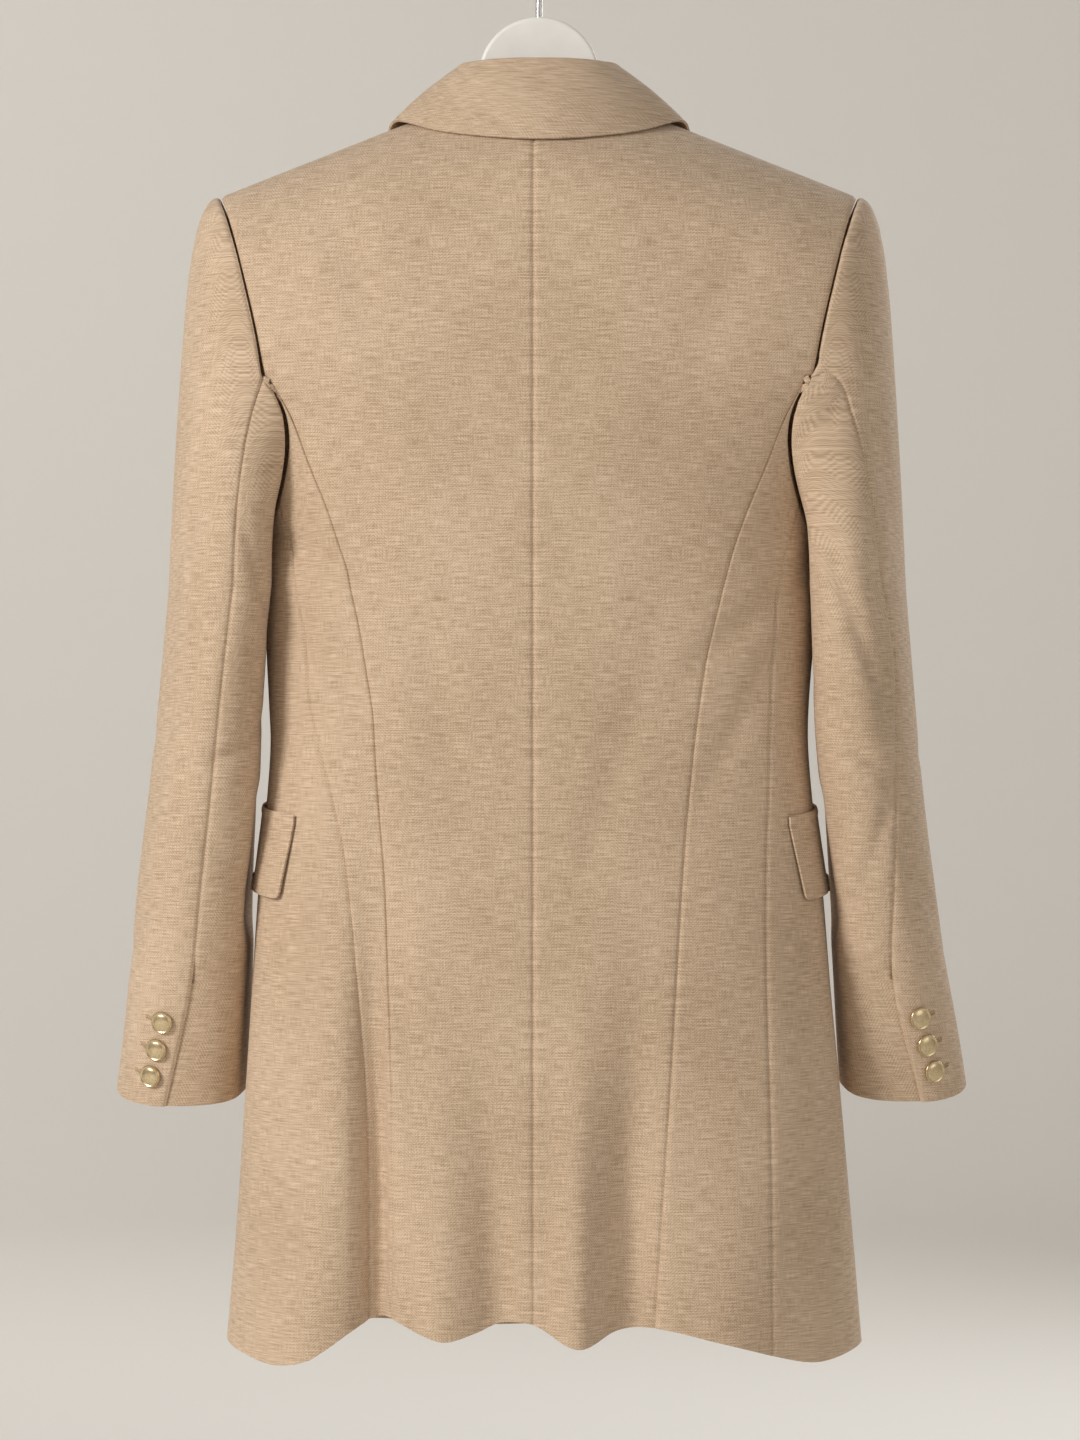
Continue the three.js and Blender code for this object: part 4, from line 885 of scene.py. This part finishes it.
# ---------- cloth ----------
BUTTONS = []
for side in (1, -1):
    where = "left" if side > 0 else "right"
    low = hem_back(side * curved_seam[side](HEM_LEVEL))
    join = (SHOULDER_Z - JOIN_Z) / (SHOULDER_Z - low)
    neck = (NECK_X - side * CENTRE_BACK_X) / (SHOULDER_X - side * CENTRE_BACK_X)
    across = sorted(set(fine_steps(0, neck, 62) + fine_steps(neck, 1, 90)))
    down = sorted(set([0, 0.0006, 0.0018, 0.004, 0.007, 0.011, 0.016] + fine_steps(0.02, join, 110)
                      + fine_steps(join, 1, 600)))
    panel(f"back_{where}_cloth", back_surface(side), across, down, -side)
    panel(f"side_{where}_cloth", side_surface(side), fine_steps(0, 1, 62), fine_steps(0, 1, 600), -side)
    across = sorted(set(fine_steps(0, 1, 60) + fine_steps(1, 2, 250)))
    down = sorted(set([0, 0.002, 0.006, 0.012, 0.022, 0.035] + fine_steps(0.05, 1, 240)
                      + fine_steps(1, 2, 540)))
    under_column, under_row = across.index(1), down.index(1)
    panel(
        f"front_{where}_cloth", front_surface(side), across, down, -side, seams="lt",
        has=lambda i, j: j >= under_row or i >= under_column)
    panel(f"lapel_{where}_cloth", lapel_surface(side), fine_steps(0.005, 1, 70), fine_steps(0, 1, 300),
          side, seams="")
    sleeve = sleeve_maker(side)
    top = lambda s, v: sleeve(mix(fore_seam(v) - 360, hind_seam[side](v), s), v)
    down = sorted(set(fine_steps(0, HEAD, 200) + fine_steps(HEAD, 1, 380)))
    panel(f"top_sleeve_{where}_cloth", top, fine_steps(0, 1, 210), down, side, seams="lrt")

    def under(s, v):
        hind = hind_seam[side](v)
        turn = hind + s * VENT_LAP if s < 0 else mix(hind, fore_seam(v), s)
        tuck = soft((v - VENT_TOP + 0.04) / 0.04) * soft((0.42 - s) / 0.42)
        return sleeve(turn, v, -(CLOTH + LAY_GAP + 0.6) * tuck)

    down = sorted(set(fine_steps(0, VENT_TOP, 500) + fine_steps(VENT_TOP, 1, 95)))
    across = sorted(set([-1, -0.75, -0.5, -0.25] + fine_steps(0, 1, 150)))
    vent_row, hind_column = down.index(VENT_TOP), across.index(0)
    panel(f"under_sleeve_{where}_cloth", under, across, down, side, seams="lrt",
          has=lambda i, j: i >= hind_column or j >= vent_row)

    # buttons on the cuff, each with a worked buttonhole beside it
    for number, share in enumerate(CUFF_BUTTON_DOWN):
        turn = hind_seam[side](share) - CUFF_BUTTON_BACK
        on = sleeve(turn, share)
        outward = (sleeve(turn, share, 1) - on).normalized()
        hole = [sleeve(turn - 6 - step * 3.2, share - 0.001 * step, 0.5) for step in range(5)]
        BUTTONS.append((f"cuff_button_{where}_{number + 1}", on + outward * 0.3, outward, CUFF_BUTTON, hole))

panel("collar_cloth", collar_surface, fine_steps(0, 1, 330), fine_steps(0, 1, 130), -1, seams="")

for pocket in POCKETS:
    side = pocket["side"]
    where = "left" if side > 0 else "right"
    welt_out = TRIM + LAY_GAP + 0.8

    def lay(s, drop, out):
        angle = math.radians(mix(pocket["rear"], pocket["front"], s))
        return body_point(side * angle, mix(pocket["rearZ"], pocket["frontZ"], s) - drop, out)

    def flap(s, v):
        edge = min(s, 1 - s) * 90
        corner = 5 * (1 - math.sqrt(1 - (1 - clamp(edge / 5, 0, 1)) ** 2)) * v
        lean = 3.4 * v * (1 if s < 0.5 else -0.6) / 60
        return lay(s + lean, WELT_HEIGHT + v * (FLAP_HEIGHT - corner), welt_out + 1.2 * v)

    def welt(s, v):
        return lay(s, v * WELT_HEIGHT, welt_out + 0.5 * math.sin(math.pi * v))

    strip = panel(f"pocket_welt_{where}_cloth", welt, fine_steps(0, 1, 95),
                  [0, 0.12, 0.3, 0.5, 0.7, 0.88, 1], -side, seams="", thick=TRIM)[0]
    panel(f"pocket_flap_{where}_cloth", flap, fine_steps(0, 1, 95), fine_steps(0, 1, 50), -side,
          seams="", thick=TRIM)

# ---------- buttons ----------
def button(name, at, outward, diameter, hole=None):
    r = diameter / 2
    profile = [(0, 0), (0.84, 0), (0.93, 0.04), (0.985, 0.1), (1, 0.19), (0.98, 0.27), (0.93, 0.31),
               (0.87, 0.3), (0.82, 0.255), (0.77, 0.25), (0.7, 0.29), (0.55, 0.335), (0.4, 0.365),
               (0.2, 0.385), (0, 0.39)]
    sides = 48
    turn = Vector((0, 0, 1)).rotation_difference(outward)
    vertices, faces, rings = [], [], []
    for reach, rise in profile:
        if reach == 0:
            rings.append([len(vertices)] * sides)
            vertices.append(at + turn @ Vector((0, 0, rise * r)))
            continue
        rings.append([len(vertices) + k for k in range(sides)])
        for k in range(sides):
            a = 2 * math.pi * k / sides
            vertices.append(at + turn @ Vector((reach * r * math.cos(a), reach * r * math.sin(a), rise * r)))
    for low, high in zip(rings, rings[1:]):
        for k in range(sides):
            m = (k + 1) % sides
            faces.append(tuple(dict.fromkeys((low[k], low[m], high[m], high[k]))))
    thing = fresh_object(f"{name}_turned", vertices, faces, BRASS)
    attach(thing, "root")
    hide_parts(name)
    if hole:
        for row, shift in enumerate((-0.8, 0.8)):
            path = [point + Vector((0, 0, shift)) for point in hole]
            thread = tube(f"{name}_thread_{row}", path, 0.5, 8, THREAD)
            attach(thread, "root")

def tube(name, path, radius, sides, material):
    vertices, faces = [], []
    aside = Vector((0, 1, 0)) if abs((path[-1] - path[0]).normalized().y) < 0.8 else Vector((0, 0, 1))
    for i, centre in enumerate(path):
        ahead = (path[min(len(path) - 1, i + 1)] - path[max(0, i - 1)]).normalized()
        other = ahead.cross(aside).normalized()
        first = other.cross(ahead).normalized()
        for k in range(sides):
            a = 2 * math.pi * k / sides
            vertices.append(centre + first * math.cos(a) * radius + other * math.sin(a) * radius)
    for i in range(len(path) - 1):
        for k in range(sides):
            m = (k + 1) % sides
            faces.append((i * sides + k, i * sides + m, (i + 1) * sides + m, (i + 1) * sides + k))
    faces.append(tuple(range(sides))[::-1])
    faces.append(tuple(range((len(path) - 1) * sides, len(path) * sides)))
    return fresh_object(name, vertices, faces, material)

for row, values in enumerate(FRONT_BUTTONS):
    for column in (1, -1):
        where = "left" if column > 0 else "right"
        on = lay_out(1, column * FRONT_BUTTON_X, values["z"], 0)
        outward = (lay_out(1, column * FRONT_BUTTON_X, values["z"], 1) - on).normalized()
        at = on + outward * values["lift"]
        BUTTONS.append((f"front_button_{where}_{row + 1}", at, outward, FRONT_BUTTON, None))
for values in BUTTONS:
    button(*values)

# ---------- hanger and hook ----------
def hanger():
    top = lambda x: ridge(x) - CLOTH - 1.25
    half = [(0, -176), (40, -178), (75, -184), (110, -194), (150, -206), (HANGER_TIP - 14, -219),
            (HANGER_TIP - 5, -220), (HANGER_TIP + 1, -215), (HANGER_TIP + 2, -207),
            (HANGER_TIP - 1, top(HANGER_TIP) - 4), (HANGER_TIP - 8, top(HANGER_TIP - 8))]
    half += [(x, top(x)) for x in range(180, 79, -10)]
    half += [(70, -143.4), (60, -140.5), (51, -135.5), (45, -129.5), (41.5, -122)]
    half += [(DOME_RADIUS * math.cos(math.radians(a)), DOME_Z + DOME_RADIUS * math.sin(math.radians(a)))
             for a in range(0, 90, 3)]
    outline = half + [(0, DOME_Z + DOME_RADIUS)] + [(-x, z) for x, z in half[:0:-1]]
    count = len(outline)
    reach = HANGER_DEPTH / 2
    vertices = [Vector((x, -reach, z)) for x, z in outline] + [Vector((x, reach, z)) for x, z in outline]
    faces = [tuple(range(count)), tuple(range(2 * count - 1, count - 1, -1))]
    faces += [((k + 1) % count, k, k + count, (k + 1) % count + count) for k in range(count)]
    thing = fresh_object("hanger_shaped", vertices, faces, PAINT)
    bevel = thing.modifiers.new("edges", "BEVEL")
    bevel.width = 2.4 * MM
    bevel.segments = 4
    bevel.limit_method = "ANGLE"
    bevel.angle_limit = math.radians(50)
    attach(thing, "root")
    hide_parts("hanger")

def hook():
    turn = HOOK_RADIUS + WIRE / 2
    points = [(0, -74.7), (0, -66), (0, -57), (3.2, -48.5), (10.5, -39.5), (15.6, -31)]
    for degrees in (-28, -12, 6, 24, 42, 60, 78, 96, 114, 132, 150, 168, 186, 204):
        a = math.radians(degrees)
        points.append((turn * math.cos(a), -HOOK_RADIUS + turn * math.sin(a)))
    path = spline([Vector((x, 0, z)) for x, z in points])
    thing = tube("hook_wire", [path(i / 160) for i in range(161)], WIRE / 2, 24, STEEL)
    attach(thing, "root")
    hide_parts("hook")

hanger()
hook()

# ---------- stage, light and camera ----------
def stage():
    material, tree, shader = node_material("studio_paper")
    shader.inputs["Base Color"].default_value = (0.86, 0.83, 0.785, 1)
    shader.inputs["Roughness"].default_value = 0.95
    floor_z, radius, bend = -1.35, 5.6, 1.2
    profile = [(0.0, floor_z), (radius - bend, floor_z)]
    corner_r, corner_z = radius - bend, floor_z + bend
    profile += [(corner_r + bend * math.sin(math.radians(a)), corner_z - bend * math.cos(math.radians(a)))
                for a in range(10, 91, 10)]
    profile += [(radius, 3.0)]
    sides = 72
    vertices = [(r * math.cos(2 * math.pi * k / sides), r * math.sin(2 * math.pi * k / sides), z)
                for r, z in profile for k in range(sides)]
    faces = []
    for i in range(len(profile) - 1):
        low, high = i * sides, (i + 1) * sides
        faces += [(low + k, low + (k + 1) % sides, high + (k + 1) % sides, high + k) for k in range(sides)]
    mesh = bpy.data.meshes.new("studio_bowl")
    mesh.from_pydata(vertices, [], faces)
    mesh.materials.append(material)
    mesh.shade_smooth()
    bowl = bpy.data.objects.new("studio_bowl", mesh)
    bpy.context.scene.collection.objects.link(bowl)

def lamp(name, place, target, size, power, color=(1, 1, 1)):
    data = bpy.data.lights.new(name, "AREA")
    data.shape = "DISK"
    data.size = size
    data.energy = power
    data.color = color
    thing = bpy.data.objects.new(name, data)
    thing.location = place
    thing.rotation_euler = (Vector(target) - Vector(place)).to_track_quat("-Z", "Y").to_euler()
    bpy.context.scene.collection.objects.link(thing)

def light():
    middle = (0, 0, -0.55)
    lamp("key", (2.3, 1.9, 0.6), middle, 0.9, 64, (1.0, 0.975, 0.94))
    lamp("fill", (-2.2, 2.4, 0.1), middle, 2.0, 10)
    lamp("wall", (1.6, -2.6, 1.3), (0.3, -5.6, -0.5), 2.0, 30, (1.0, 0.985, 0.96))
    lamp("front_key", (-1.6, -2.4, 0.7), middle, 1.4, 30)
    world = bpy.data.worlds.new("studio")
    world.use_nodes = True
    world.node_tree.nodes["Background"].inputs["Color"].default_value = (1, 0.985, 0.965, 1)
    world.node_tree.nodes["Background"].inputs["Strength"].default_value = 0.28
    bpy.context.scene.world = world

def camera():
    distance, middle_z, seen = 3.0, -0.5383, 0.9504
    data = bpy.data.cameras.new("photo_view")
    data.sensor_width = 36
    data.lens = 36 * distance / seen
    thing = bpy.data.objects.new("photo_view", data)
    thing.location = (-0.0007, distance, middle_z)
    thing.rotation_euler = (math.radians(90), 0, math.radians(180))
    bpy.context.scene.collection.objects.link(thing)
    bpy.context.scene.camera = thing

stage()
light()
camera()
bpy.context.scene.view_settings.view_transform = "Standard"
